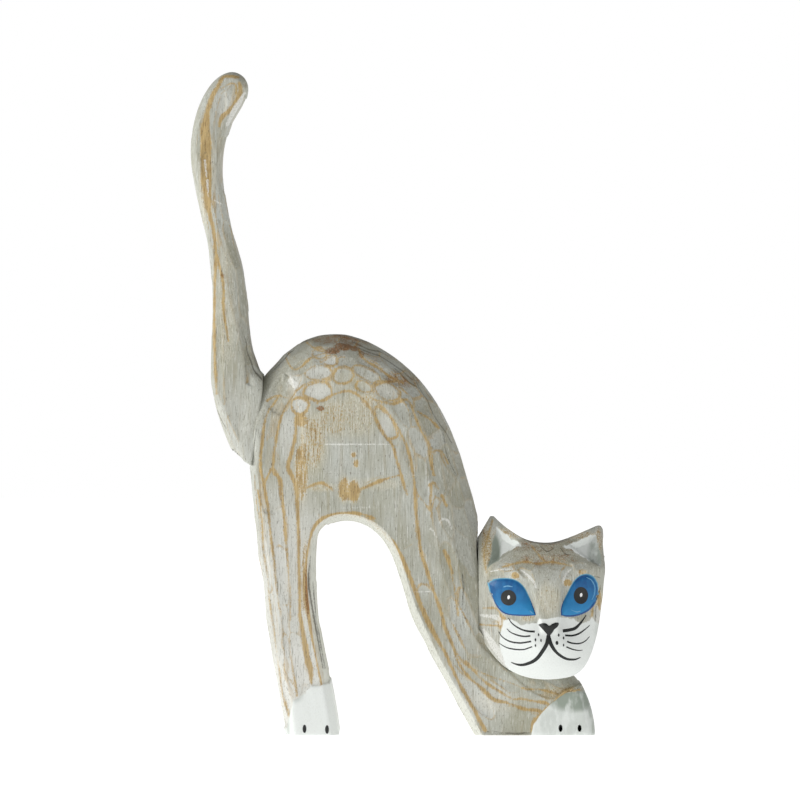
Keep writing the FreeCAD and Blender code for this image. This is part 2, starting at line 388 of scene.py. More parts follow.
TAIL_RIDGES = [
    [(-106, 398), (-113.5, 390), (-121.5, 372), (-124.9, 350), (-119, 315), (-112.8, 279), (-111.6, 250),
     (-111.6, 208), (-104, 182)],
    [(-99.6, 394), (-107, 388), (-112, 378), (-115.6, 364), (-116, 350), (-112.8, 315), (-109.5, 270),
     (-108, 235), (-105, 205), (-97, 176)],
    [(-94.2, 390), (-100, 378), (-106, 365), (-108, 345), (-107, 320), (-103, 290), (-98, 262),
     (-95, 235), (-91.5, 200), (-90, 168)],
    [(-90.6, 388), (-98.5, 369), (-104.5, 348), (-102.5, 318), (-93, 282), (-89, 255), (-87, 236),
     (-82, 216), (-84, 190)]]


# Facets on the forehead, the brows and the cheeks: x, z, length, width and rise in degrees
HEAD_FACETS = [
    (60, 106, 16, 9, 20), (73, 108, 15, 9, 8), (86, 109.5, 14, 8, -4), (99, 109, 14, 8, -6),
    (112, 106, 15, 9, -20), (77, 98.5, 12, 6, -48), (101, 98.5, 12, 6, 52), (51, 91, 15, 9, 82),
    (51, 77, 14, 9, 88), (53, 64, 15, 9, 108), (60, 52, 16, 8, 128), (70, 42, 16, 8, 148),
    (122, 78, 16, 8, 78), (118, 60, 16, 8, 66)]
HEAD_CUT = 0.6


def head_cuts(tree, cuts):
    """The facets listed above, then rows of them on the head's right side and its rear."""
    for x, z, length, width, rise in HEAD_FACETS:
        a = math.radians(rise)
        target = (x, FRONT_Y - 18, z)
        add_cut(cuts, tree, target, (math.cos(a), 0, math.sin(a)), length, width, HEAD_CUT, 0.5, 0.03)
    for z in np.arange(48, 112, 15.0):
        for y in (-16.0, -2.0, 11.0):
            add_cut(cuts, tree, (130, y, z + rng.uniform(-3, 3)), (0, 0, 1), 18, 15, HEAD_CUT, 0.5, 0.03)
    for x in np.arange(56, 122, 14.0):
        for z in (52, 74, 96):
            add_cut(cuts, tree, (x, 40, z + rng.uniform(-3, 3)), (0, 0, 1), 24, 15, HEAD_CUT, 0.5, 0.03)


# ------------------------------------------------------------------ outlines on the surface

SEARCH_START = 1e3                   # farther off than any vertex is from a line


def segment_distance(x, z, a, b):
    """Distance to the segment a-b and the share of the way along it."""
    dx, dz = b[0] - a[0], b[1] - a[1]
    t = np.clip(((x - a[0]) * dx + (z - a[1]) * dz) / (dx * dx + dz * dz), 0, 1)
    return np.hypot(x - a[0] - t * dx, z - a[1] - t * dz), t


def line_distance(x, z, points):
    """Distance to an open run of XZ points."""
    best = np.full(len(x), SEARCH_START)
    for a, b in zip(points, points[1:]):
        best = np.minimum(best, segment_distance(x, z, a, b)[0])
    return best


def region_distance(x, z, points):
    """Signed distance to a closed outline, negative inside."""
    best = np.full(len(x), SEARCH_START)
    inside = np.zeros(len(x), dtype=bool)
    for a, b in zip(points, points[1:] + points[:1]):
        best = np.minimum(best, segment_distance(x, z, a, b)[0])
        if a[1] != b[1]:
            spans = (a[1] > z) != (b[1] > z)
            inside ^= spans & (x < a[0] + (z - a[1]) * (b[0] - a[0]) / (b[1] - a[1]))
    return np.where(inside, -best, best)


def taper_stroke(x, z, points, widths):
    """Signed distance to a brushed or rubbed line whose width changes along it."""
    best = np.full(len(x), SEARCH_START)
    for i, (a, b) in enumerate(zip(points, points[1:])):
        distance, t = segment_distance(x, z, a, b)
        half = (widths[i] + (widths[i + 1] - widths[i]) * t) / 2
        best = np.minimum(best, distance - half)
    return best


# ------------------------------------------------------------------ the face

FACE_X, FACE_Z = 91.2, 65.0          # tip of the nose
FACE_LEAN = -0.06                    # the face's middle line leans this much per millimetre up


def face_offset(x, z):
    """Distance right of the face's middle line."""
    return x - (FACE_X + FACE_LEAN * (z - FACE_Z))


def bump(x, z, at_x, at_z, wide, high):
    """A smooth swelling, 1 at its top."""
    return np.exp(-((x - at_x) / wide) ** 2 - ((z - at_z) / high) ** 2)


def edge_distance(x, z, a, b):
    """Signed distance from the line a to b, positive on its left."""
    dx, dz = b[0] - a[0], b[1] - a[1]
    return (dx * (z - a[1]) - dz * (x - a[0])) / math.hypot(dx, dz)


# Tip, inner foot, bottom of the crease and outer foot of each ear's hollow, seen from the front
LEFT_HOLLOW = ((59.8, 125.4), (76.0, 114.4), (64.4, 107.4), (52.6, 97.8))
RIGHT_HOLLOW = ((121.6, 122.0), (98.6, 113.2), (116.6, 104.0), (123.2, 98.8))


def hollow_depth(x, z, hollow):
    """Two planes that meet in a crease, stopped by a steep wall at the foot."""
    tip, inner, crease, outer = hollow
    turn = 1 if inner[0] > outer[0] else -1
    inner_side = edge_distance(x, z, tip, inner) * -turn
    outer_side = edge_distance(x, z, tip, outer) * turn
    foot = np.minimum(edge_distance(x, z, inner, crease) * -turn, edge_distance(x, z, crease, outer) * -turn)
    planes = np.minimum(inner_side * 1.15, outer_side * 0.9)
    return np.clip(planes, 0, 5.0) * smoothstep(-0.2, 0.9, foot)


BROW_Z = 92.0
FOREHEAD = 19.0                      # from this far above the brows the forehead slopes straight back
BROWS = ((67.5, 99.5), (112.5, 101.0))
SOCKETS = ((69.0, 83.5), (110.5, 84.0))
FARTHEST_FORWARD = 45.9


def nose_bridge(dx, z):
    """1 on the raised bridge, which widens upward and fades out at the nose and at the brows."""
    half = 5.2 + 0.17 * np.maximum(z - 66.0, 0)
    return smoothstep(-1.2, 1.2, half - np.abs(dx)) * smoothstep(60, 67, z) * smoothstep(104, 86, z)


def face_depth(x, z):
    """How far the face stands in front of the plank's middle, in millimetres."""
    dx = face_offset(x, z)
    cheeks = 40.2 - 9.5 * (np.abs(dx) / 36.0) ** 2.3
    up = np.maximum(z - BROW_Z, 0)
    forehead = np.where(up < FOREHEAD, 0.021 * up ** 2, 7.6 + 0.8 * (up - FOREHEAD))
    chin = 0.030 * np.maximum(44.0 - z, 0) ** 2
    muzzle = 4.4 * bump(dx, z, 0.0, 53.0, 19.0, 12.5)
    pads = bump(np.abs(dx), z, 8.5, 56.0, 6.5, 6.0)
    depth = cheeks - forehead - chin + muzzle + pads + 2.6 * nose_bridge(dx, z)
    for at_x, at_z in BROWS:
        depth += 1.6 * bump(x, z, at_x, at_z, 13.0, 4.2)
    for at_x, at_z in SOCKETS:
        depth -= 1.5 * bump(x, z, at_x, at_z, 15.5, 10.0)
    depth -= hollow_depth(x, z, LEFT_HOLLOW) + hollow_depth(x, z, RIGHT_HOLLOW)
    return np.minimum(depth, FARTHEST_FORWARD)


REAR_MARGIN = 6.0                    # a hit this near the rear has missed the block's front
PULLS = (0.0, 0.03, 0.06)            # near the outline the front is sought a little further in


def sculpt_face(carving):
    """Moves the front of the head block onto the face's relief, column by column."""
    tree = carving.tree()
    centre = (carving.low + carving.high) / 2
    rear = carving.high[1]
    front = np.empty(len(carving.points))
    for i, (x, y, z) in enumerate(carving.points):
        front[i] = y
        for pull in PULLS:
            at_x, at_z = x + (centre[0] - x) * pull, z + (centre[2] - z) * pull
            hit = tree.ray_cast(Vector((at_x, -200, at_z)), Vector((0, 1, 0)))[0]
            if hit is not None and hit.y < rear - REAR_MARGIN:
                front[i] = min(hit.y, y)
                break
    front = carving.spread(front, 6)
    x, y, z = carving.points.T
    share = np.clip((y - rear) / np.minimum(front - rear, -REAR_MARGIN), 0.0, 1.0)
    target = MID_Y - face_depth(x, z)
    carving.points[:, 1] = rear + share * (target - rear)
    carving.write()


# ------------------------------------------------------------------ materials


class Shader:
    """Short names for building one material's nodes."""

    def __init__(self, name):
        self.material = bpy.data.materials.new(name)
        self.material.use_nodes = True
        self.tree = self.material.node_tree
        self.bsdf = self.tree.nodes["Principled BSDF"]

    def link(self, a, b):
        self.tree.links.new(a, b)

    def node(self, kind, **settings):
        made = self.tree.nodes.new(kind)
        for key, value in settings.items():
            setattr(made, key, value)
        return made

    def put(self, socket, value):
        """A socket takes another node's output or a plain value."""
        if hasattr(value, "is_output"):
            self.link(value, socket)
        else:
            socket.default_value = value

    def surface(self, name, value):
        """Gives the surface shader one of its values."""
        self.put(self.bsdf.inputs[name], value)

    def attribute(self, name):
        return self.node("ShaderNodeAttribute", attribute_name=name).outputs["Fac"]

    def math(self, kind, a, b=0.0, clamp=False):
        made = self.node("ShaderNodeMath", operation=kind, use_clamp=clamp)
        self.put(made.inputs[0], a)
        self.put(made.inputs[1], b)
        return made.outputs[0]

    def plus(self, a, b):
        return self.math("ADD", a, b)

    def minus(self, a, b):
        return self.math("SUBTRACT", a, b)

    def times(self, a, b):
        return self.math("MULTIPLY", a, b)

    def mix(self, factor, a, b, blend="MIX"):
        made = self.node("ShaderNodeMix", data_type="RGBA", blend_type=blend)
        self.put(made.inputs["Factor"], factor)
        self.put(made.inputs["A"], a)
        self.put(made.inputs["B"], b)
        return made.outputs["Result"]

    def ramp(self, value, low, high, out_low=0.0, out_high=1.0):
        made = self.node("ShaderNodeMapRange", interpolation_type="SMOOTHSTEP")
        ends = (("From Min", low), ("From Max", high), ("To Min", out_low), ("To Max", out_high))
        for name, end in ends:
            made.inputs[name].default_value = end
        self.put(made.inputs["Value"], value)
        return made.outputs["Result"]

    def place(self, scale):
        """Object position in metres, stretched per axis."""
        coords = self.node("ShaderNodeTexCoord").outputs["Object"]
        made = self.node("ShaderNodeMapping")
        made.inputs["Scale"].default_value = scale
        self.link(coords, made.inputs["Vector"])
        return made.outputs["Vector"]

    def noise(self, scale, stretch=(1, 1, 1), detail=3.0, rough=0.55, warp=0.0):
        made = self.node("ShaderNodeTexNoise")
        made.inputs["Scale"].default_value = scale
        made.inputs["Detail"].default_value = detail
        made.inputs["Roughness"].default_value = rough
        made.inputs["Distortion"].default_value = warp
        self.link(self.place(stretch), made.inputs["Vector"])
        return made.outputs["Fac"]


def rgb(r, g, b):
    """Linear colour from 0-255 screen values."""
    values = []
    for c in (r, g, b):
        c = c / 255.0
        values.append(c / 12.92 if c <= 0.04045 else ((c + 0.055) / 1.055) ** 2.4)
    return (*values, 1.0)


def wood_textures(s):
    """The noises that every layer of the whitewashed wood draws on."""
    fine = s.noise(1500.0, (1, 1, 0.6), 3.0, 0.7)
    pores = s.noise(2100.0, (1, 1, 0.18), 1.0, 0.4)
    return SimpleNamespace(
        grain=s.noise(1700.0, (1, 1, 0.05), 4.0, 0.7),
        broad_grain=s.noise(420.0, (1, 1, 0.06), 3.0, 0.5, 0.4),
        cloud=s.noise(48.0, (1, 1, 0.5), 3.0),
        patchy=s.noise(170.0, (1, 1, 0.4), 3.0, 0.6),
        fine=fine,
        pores=pores,
        dots=s.ramp(pores, 0.66, 0.76),
        rough_edge=s.times(s.minus(fine, 0.5), 2.6))


def wash_layer(s, t):
    """The thin grey wash: cloudy, toned facet by facet, with the grain showing through, and with painted
    shade and painted light from the floor in it.
    """
    rubbed = s.attribute("rubbed")
    wash = s.mix(s.ramp(t.cloud, 0.34, 0.68), rgb(169, 168, 150), rgb(189, 191, 181))
    wash = s.mix(s.ramp(s.attribute("tone"), -1.0, 1.0, 0.0, 0.55), wash, rgb(201, 204, 198))
    wash = s.mix(s.ramp(t.broad_grain, 0.52, 0.74, 0.0, 0.4), wash, rgb(163, 153, 125))
    wash = s.mix(s.times(rubbed, 0.35), wash, rgb(208, 194, 148))
    # darker olive where stains lie and where shade is painted in: over the forehead and the top of the back,
    # which face up, along the tail's right edge and below the head's left cheek
    wash = s.mix(s.times(s.attribute("stain_and_shade"), 0.5), wash, rgb(133, 130, 107))
    # paler wash, and low on the legs painted light from the floor
    wash = s.mix(s.attribute("pale"), wash, rgb(224, 224, 217))
    wash = s.mix(s.ramp(t.grain, 0.46, 0.30, 0.0, 0.7), wash, rgb(228, 229, 224))
    wash = s.mix(s.ramp(t.grain, 0.53, 0.70, 0.0, 0.75), wash, rgb(123, 119, 101))
    wash = s.mix(s.ramp(t.fine, 0.56, 0.72, 0.0, 0.5), wash, rgb(131, 126, 105))
    limy = s.ramp(s.plus(t.pores, s.times(rubbed, 0.22)), 0.62, 0.74)
    return s.mix(s.times(limy, 0.5), wash, rgb(222, 220, 208))


def bareness(s, t):
    """How far the wash is gone: on facet ridges, along rubbed lines and in rubbed patches."""
    width = s.ramp(t.patchy, 0.30, 0.70, 0.25, 1.25)
    faint = s.times(s.ramp(t.fine, 0.30, 0.50, 0.35, 1.0), s.ramp(t.cloud, 0.42, 0.62, 0.15, 0.8))
    ridge = s.times(s.ramp(s.minus(s.attribute("ridge"), width), 0.35, -0.25), faint)
    swell = s.times(s.minus(t.patchy, 0.62), 2.2)
    line = s.ramp(s.minus(s.plus(s.attribute("gold"), t.rough_edge), swell), 1.0, -0.1)
    mottle = s.plus(s.times(t.fine, 0.5), s.times(t.grain, 0.5))
    patch = s.ramp(s.plus(mottle, s.times(s.attribute("rubbed"), 0.33)), 0.72, 0.84)
    return s.math("MAXIMUM", s.math("MAXIMUM", ridge, line), patch, True)


def rough_mark(s, t, name, low, high):
    """1 on a drawn mark and 0 beside it, with a rough edge between."""
    return s.ramp(s.plus(s.attribute(name), s.times(t.rough_edge, 0.5)), low, high)


def marked_wood(s, t):
    """Wash, bare wood, stains with painted shade, pores, white marks with painted highlights, the painted
    highlight on the arch's bevel and dark hairlines, laid over each other in turn.
    """
    ochre = s.mix(s.ramp(t.grain, 0.38, 0.68), rgb(198, 169, 109), rgb(149, 117, 62))
    colour = s.mix(s.times(bareness(s, t), 0.85), wash_layer(s, t), ochre)
    soak = s.plus(s.times(t.fine, 0.6), s.times(t.patchy, 0.4))
    # rust-coloured stains from the noise, more of them where the painted shade lies
    stained_and_shaded = s.ramp(s.plus(soak, s.times(s.attribute("stain_and_shade"), 0.32)), 0.70, 0.88)
    rust = s.mix(s.ramp(t.grain, 0.4, 0.6), rgb(158, 106, 56), rgb(108, 80, 50))
    colour = s.mix(s.times(stained_and_shaded, 0.85), colour, rust)
    colour = s.mix(s.times(t.dots, 0.7), colour, rgb(84, 76, 58))
    # white marks, and painted highlights on the brows, the left edge of the cheek and the tail's tip
    white_marks_and_highlights = s.times(rough_mark(s, t, "white_marks_and_highlights", 0.3, -0.2), s.ramp(t.fine, 0.66, 0.44, 0.2, 0.8))
    colour = s.mix(white_marks_and_highlights, colour, rgb(230, 230, 224))
    # painted highlight along the bevel of the arch's front edge
    arch_bevel_highlight = s.times(s.ramp(s.attribute("bevel"), 0.3, -0.3), s.ramp(t.grain, 0.66, 0.44, 0.35, 0.95))
    colour = s.mix(arch_bevel_highlight, colour, rgb(219, 220, 210))
    # dark hairlines: cracks, and painted shade in gaps and hollows
    return s.mix(s.times(rough_mark(s, t, "dark", 0.35, -0.25), 0.7), colour, rgb(70, 66, 54))


def white_paint(s, t):
    """The white of the paws, muzzle and ears, worn thin in places."""
    white = s.mix(s.ramp(t.fine, 0.5, 0.75, 0.0, 0.25), rgb(235, 239, 235), rgb(196, 198, 190))
    worn = s.times(s.attribute("thin"), s.ramp(t.patchy, 0.66, 0.42, 0.35, 1.0))
    return s.mix(worn, white, rgb(150, 159, 147))


def whitewashed_wood():
    """Thin greyish wash over pale wood, rubbed through on the ridges, with white painted parts."""
    s = Shader("whitewashed_wood")
    t = wood_textures(s)
    ragged = s.times(s.minus(t.patchy, 0.5), 5.0)
    painted = s.ramp(s.plus(s.attribute("paint"), ragged), 0.5, -0.5)
    s.surface("Base Color", s.mix(painted, marked_wood(s, t), white_paint(s, t)))
    s.surface("Roughness", s.ramp(painted, 0.0, 1.0, 0.68, 0.45))
    s.surface("Specular IOR Level", 0.3)
    bump = s.node("ShaderNodeBump")
    bump.inputs["Strength"].default_value = 0.45
    bump.inputs["Distance"].default_value = 0.00025
    s.link(s.minus(s.times(t.grain, -0.7), t.dots), bump.inputs["Height"])
    s.surface("Normal", bump.outputs["Normal"])
    return s.material


def plain_paint(name, dark, light, roughness=0.5, coat=0.0):
    """Brushed paint: one colour with a faint brush streak in it."""
    s = Shader(name)
    streak = s.noise(300.0, (1, 1, 0.3), 2.0)
    s.surface("Base Color", s.mix(s.ramp(streak, 0.35, 0.65), dark, light))
    s.surface("Roughness", roughness)
    s.surface("Coat Weight", coat)
    s.surface("Coat Roughness", 0.06)
    return s.material


def eye_paint():
    """Blue paint, darker toward the top, with a painted highlight as a light line along the upper rim."""
    s = Shader("blue_gloss_paint")
    height = s.node("ShaderNodeSeparateXYZ")
    s.link(s.node("ShaderNodeTexCoord").outputs["Object"], height.inputs[0])
    lower = s.ramp(height.outputs["Z"], 0.090, 0.074)
    brush = s.noise(260.0, (1, 1, 0.6), 3.0)
    colour = s.mix(s.ramp(brush, 0.3, 0.7), rgb(18, 84, 140), rgb(30, 108, 164))
    colour = s.mix(s.times(lower, 0.75), colour, rgb(44, 140, 196))
    # the rim: dark blue below, a painted highlight above
    rim_dark_and_highlight = s.mix(s.ramp(height.outputs["Z"], 0.078, 0.086), rgb(20, 74, 140), rgb(112, 176, 204))
    s.surface("Base Color", s.mix(s.ramp(s.attribute("rim"), 0.90, 0.96), colour, rim_dark_and_highlight))
    s.surface("Roughness", 0.35)
    s.surface("Specular IOR Level", 0.25)
    s.surface("Coat Weight", 0.15)
    s.surface("Coat Roughness", 0.08)
    return s.material


def dowel_wood():
    """Plain turned wood, its grain along the dowel."""
    s = Shader("dowel_wood")
    grain = s.noise(900.0, (0.05, 1, 1), 3.0)
    s.surface("Base Color", s.mix(s.ramp(grain, 0.4, 0.65), rgb(206, 176, 128), rgb(168, 132, 84)))
    s.surface("Roughness", 0.7)
    return s.material


# ------------------------------------------------------------------ painted and raised details


def smooth_line(points, steps=8):
    """Points along a smooth curve through the given points."""
    p = [np.array(q, dtype=float) for q in points]
    p = [2 * p[0] - p[1]] + p + [2 * p[-1] - p[-2]]
    out = []
    for i in range(1, len(p) - 2):
        for k in range(steps):
            t = k / steps
            a, b, c, d = p[i - 1], p[i], p[i + 1], p[i + 2]
            out.append(0.5 * (2 * b + (c - a) * t + (2 * a - 5 * b + 4 * c - d) * t * t
                              + (3 * b - a - 3 * c + d) * t ** 3))
    out.append(p[-2])
    return out


def add_piece(name, points, faces, material):
    """A new piece that rides with the cat; points in millimetres."""
    mesh = bpy.data.meshes.new(name)
    mesh.from_pydata([tuple(np.array(p) * MM) for p in points], [], faces)
    mesh.update()
    mesh.polygons.foreach_set("use_smooth", [True] * len(mesh.polygons))
    mesh.materials.append(material)
    obj = bpy.data.objects.new(name, mesh)
    bpy.context.scene.collection.objects.link(obj)
    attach(obj, "root")
    return obj


class Canvas:
    """A surface as a brush coming along +Y meets it; no paint goes in front of the given Y."""

    def __init__(self, tree, front):
        self.tree = tree
        self.front = front

    def lay(self, x, z, proud):
        hit = self.tree.ray_cast(Vector((x, -200, z)), Vector((0, 1, 0)))[0]
        y = hit.y if hit is not None else MID_Y
        return (x, max(y - proud, self.front), z)


def brush_stroke(canvas, points, widths, proud=0.12):
    """Vertices and faces of a thin ribbon of paint whose width changes along it."""
    line = smooth_line(points)
    spread = np.interp(np.linspace(0, 1, len(line)), np.linspace(0, 1, len(widths)), widths)
    verts, faces = [], []
    for i, p in enumerate(line):
        ahead = line[min(i + 1, len(line) - 1)] - line[max(i - 1, 0)]
        ahead /= np.linalg.norm(ahead)
        side = np.array([-ahead[1], ahead[0]])
        for share in (-0.5, 0.0, 0.5):
            q = p + side * spread[i] * share
            verts.append(canvas.lay(q[0], q[1], proud if share == 0 else proud * 0.6))
        if i:
            k = 3 * i
            faces += [(k - 3, k - 2, k + 1, k), (k - 2, k - 1, k + 2, k + 1)]
    return verts, faces


def disc_faces(corners, rings):
    """A fan round vertex 0, then bands of faces between the rings of vertices."""
    faces = [(0, 1 + k, 1 + (k + 1) % corners) for k in range(corners)]
    for r in range(1, rings):
        inner, outer = 1 + (r - 1) * corners, 1 + r * corners
        for k in range(corners):
            n = (k + 1) % corners
            faces.append((inner + k, outer + k, outer + n, inner + n))
    return faces


def paint_spot(canvas, x, z, wide, high, tilt=0.0, proud=0.14, rings=3, corners=18):
    """A small oval of paint."""
    c, s = math.cos(math.radians(tilt)), math.sin(math.radians(tilt))
    verts = [canvas.lay(x, z, proud)]
    for r in range(1, rings + 1):
        for k in range(corners):
            t = 2 * math.pi * k / corners
            u, w = wide / 2 * r / rings * math.cos(t), high / 2 * r / rings * math.sin(t)
            verts.append(canvas.lay(x + u * c - w * s, z + u * s + w * c, proud))
    return verts, disc_faces(corners, rings)


def joined(parts):
    verts, faces = [], []
    for v, f in parts:
        base = len(verts)
        verts += v
        faces += [tuple(i + base for i in face) for face in f]
    return verts, faces


# Each eye: over its upper edge from left to right, and back under
LEFT_EYE = ([(54.0, 92.0), (58.0, 94.2), (62.4, 95.0), (68.2, 94.8), (72.8, 93.0), (76.4, 89.4),
             (79.4, 83.7), (82.2, 76.4), (83.4, 72.4)],
            [(83.4, 72.4), (78.4, 71.9), (72.5, 71.9), (66.7, 72.4), (62.8, 73.9), (59.6, 77.4),
             (57.2, 82.3), (55.2, 87.3), (54.0, 92.0)])
RIGHT_EYE = ([(97.8, 72.4), (97.8, 76.4), (99.2, 81.0), (102.0, 86.8), (104.8, 92.0), (107.8, 95.6),
              (111.4, 97.4), (115.0, 97.4), (118.4, 95.4), (120.6, 91.8)],
             [(120.6, 91.8), (121.2, 86.8), (120.2, 81.8), (117.8, 77.6), (114.4, 74.6), (110.4, 72.7),
              (106.0, 71.6), (101.2, 71.5), (97.8, 72.4)])


EYES = {"left_eye": LEFT_EYE, "right_eye": RIGHT_EYE}
# x, z, width and height of each pupil
PUPILS = {"left_eye": (66.7, 83.0, 9.2, 9.4), "right_eye": (110.0, 84.4, 8.7, 10.2)}
EYE_HEIGHT = 2.0
EYE_SUNK = 0.25                      # its rim ends this far inside the wood
EYE_RINGS = 14


def eye_dome(canvas, outline):
    """A domed cap over an almond outline, with how far out each point lies."""
    upper, lower = outline
    rim = smooth_line(upper, 5)[:-1] + smooth_line(lower, 5)[:-1]
    centre = np.mean(rim, axis=0)
    verts, share = [canvas.lay(*centre, EYE_HEIGHT)], [0.0]
    for r in range(1, EYE_RINGS + 1):
        out = r / EYE_RINGS
        proud = (EYE_HEIGHT + EYE_SUNK) * (1 - out ** 3.2) ** 0.75 - EYE_SUNK
        verts += [canvas.lay(*(centre + (p - centre) * out), proud) for p in rim]
        share += [out] * len(rim)
    return verts, disc_faces(len(rim), EYE_RINGS), share


# Brush strokes on the face: points and widths along them
WHISKERS = [
    ([(66.6, 70.9), (68.9, 67.6), (73.2, 64.7), (77.5, 63.3), (82.3, 63)], (0.35, 0.8, 1)),
    ([(65.7, 64.4), (68.2, 62.2), (72.5, 60.6), (76, 60.1), (79.6, 60.4)], (0.35, 0.75, 0.8)),
    ([(60.9, 62.6), (63.1, 59.4), (67.4, 56.9), (72.5, 56.1), (76, 56.4), (80, 57.2)], (0.35, 0.8, 0.8)),
    ([(61, 55.8), (64.6, 53.6), (68.9, 52.4), (75.3, 52.2), (80.7, 54.1)], (0.3, 0.7, 0.6)),
    ([(99, 63.4), (103.3, 64), (106.8, 65.1), (110.4, 68.7), (113.2, 72.6)], (1.6, 1.5, 0.4)),
    ([(100.4, 60.8), (104.7, 60.6), (108.3, 61.5), (111.9, 63.7), (115.4, 66.5)], (0.9, 0.9, 0.35)),
    ([(101.5, 57.2), (104.7, 56.1), (109, 55.8), (112.6, 57.2), (115.2, 59.8)], (0.8, 0.7, 0.3)),
    ([(101.1, 54), (104.7, 52.5), (108.3, 51.7), (111, 51.8)], (0.7, 0.6, 0.3))]
MOUTH = [
    ([(90.5, 61.4), (90.4, 60), (90.4, 58.4)], (1.6, 2.1, 2.2)),
    ([(90.2, 59.3), (89.3, 55.8), (86.8, 51.5), (83.9, 47.4), (80.3, 44.7), (75.3, 43), (71.6, 43.2),
     (68.2, 44.4)], (2, 1.9, 1.8, 1.6, 1.1, 0.4)),
    ([(90.6, 59.3), (91.8, 55.8), (93.9, 52.2), (96.8, 49.3), (101.1, 46.8), (106.1, 46.3),
     (109.7, 47.5)], (2, 1.8, 1.4, 1.3, 1, 0.4))]
NOSE = [
    (84.4, 67.1), (86.8, 68.1), (89.1, 67.9), (90.7, 66.6), (92.9, 67.8), (95, 68.5), (96.6, 68.1),
    (96, 66.2), (93.9, 64.4), (92.5, 62.2), (90.5, 60.6), (88.4, 62.8), (86.2, 65.2)]
# x, z, width and height of each dot
WHISKER_DOTS = [
    (84.5, 61.2, 0.9, 1.7), (82.6, 58.2, 0.9, 2), (85.9, 57.9, 0.8, 1.9), (82.6, 54.8, 0.8, 1.8),
    (96.5, 61, 1, 1.8), (99.4, 59.3, 0.9, 1.7), (95.4, 56.4, 1.7, 2.4), (99.4, 55.1, 0.8, 1.7)]


# Painted highlights and reflections on the glossy blue of the eyes, and darker brush strokes in it
EYE_GLINTS = {
    "left_eye": [([(63.6, 89.4), (66.2, 90.0), (69.2, 89.6)], (0.4, 0.9, 0.4)),
                 ([(79.3, 75.6), (80.4, 74.4), (81.6, 73.4)], (0.3, 0.8, 0.3))],
    "right_eye": [([(113.4, 95.2), (116.4, 93.4), (118.4, 89.6), (118.2, 85.0), (116.6, 81.6)],
                   (0.4, 0.6, 0.8, 0.8, 0.3)),
                  ([(104.2, 75.8), (107.4, 74.6), (110.0, 75.2)], (0.3, 0.6, 0.3))]}
EYE_DEEPS = {
    "left_eye": [([(56.0, 87.6), (58.0, 81.6), (61.4, 76.2), (65.6, 73.4), (72.0, 72.7), (80.0, 72.7)],
                  (0.4, 0.8, 0.9, 0.7, 0.7, 0.6))],
    "right_eye": [([(98.6, 72.6), (104.0, 72.4), (110.2, 73.6), (115.0, 76.2), (118.4, 80.2), (120.2, 85.6)],
                   (0.5, 0.6, 0.7, 0.9, 0.8, 0.4)),
                  ([(106.4, 92.6), (109.8, 95.2), (113.6, 96.2)], (0.5, 1.1, 0.4))]}


BRUSH = 1.2                          # the brush lays whiskers and mouth this much wider than listed
NOSE_MIDDLE = np.array([90.7, 64.8])


def make_eye(name, head, canvas, blue):
    """One domed eye; gives back a canvas for the paint that lies on it."""
    verts, faces, share = eye_dome(canvas, EYES[name])
    eye = add_piece(name, verts, faces, blue)
    store_attribute(eye.data, "rim", share)
    return Canvas(BVHTree.FromPolygons(verts, faces), head.low[1])


def make_nose(canvas, black):
    """A thick patch of black paint, a little thinner toward its edge."""
    rim = smooth_line(NOSE + NOSE[:1], 4)[:-1]
    verts = [canvas.lay(*NOSE_MIDDLE, 0.5)]
    for out, proud in ((0.4, 0.5), (0.75, 0.5), (1.0, 0.3)):
        verts += [canvas.lay(*(NOSE_MIDDLE + (p - NOSE_MIDDLE) * out), proud) for p in rim]
    add_piece("nose", verts, disc_faces(len(rim), 3), black)


def make_face(head, black):
    """Everything painted on the face, each kind of mark as one piece."""
    canvas = Canvas(head.tree(), head.low[1])
    blue = eye_paint()
    # light_blue is the colour of the painted highlights and reflections on the eyes
    light_blue = plain_paint("light_blue", rgb(78, 148, 194), rgb(112, 168, 202), coat=0.1)
    deep_blue = plain_paint("deep_blue", rgb(16, 66, 124), rgb(26, 84, 144), coat=0.1)
    white = plain_paint("white_dots", rgb(238, 240, 238), rgb(250, 250, 250), roughness=0.4)
    pupils, lights, glints, deeps = [], [], [], []
    for name, (x, z, wide, high) in PUPILS.items():
        dome = make_eye(name, head, canvas, blue)
        pupils.append(paint_spot(dome, x, z, wide, high, proud=0.10, rings=5, corners=36))
        lights.append(paint_spot(dome, x + 0.1, z + 0.3, 1.5, 2.4, tilt=-12, proud=0.2))
        # painted highlights and reflections on the eye, then darker strokes
        glints += [brush_stroke(dome, line, widths, 0.06) for line, widths in EYE_GLINTS[name]]
        deeps += [brush_stroke(dome, line, widths, 0.05) for line, widths in EYE_DEEPS[name]]
    strokes = [brush_stroke(canvas, line, [BRUSH * w for w in widths]) for line, widths in WHISKERS + MOUTH]
    add_piece("pupils", *joined(pupils), black)
    add_piece("eye_glints", *joined(glints), light_blue)
    add_piece("eye_deeps", *joined(deeps), deep_blue)
    add_piece("eye_lights", *joined(lights), white)
    add_piece("whiskers_and_mouth", *joined(strokes), black)
    add_piece("whisker_dots", *joined([paint_spot(canvas, *dot) for dot in WHISKER_DOTS]), black)
    make_nose(canvas, black)


# x, z, width and height of each painted claw
CLAWS = [(-55.5, 4, 2.2, 5), (-42, 3.6, 2.3, 5.2), (98.1, 4.4, 2.4, 4.4), (109.5, 4.4, 2.4, 4.2)]


def make_claws(body, black):
    """Two painted claws on the front of each paw."""
    canvas = Canvas(body.tree(), body.low[1])
    add_piece("claws", *joined([paint_spot(canvas, *claw) for claw in CLAWS]), black)


# ------------------------------------------------------------------ stage, light, camera

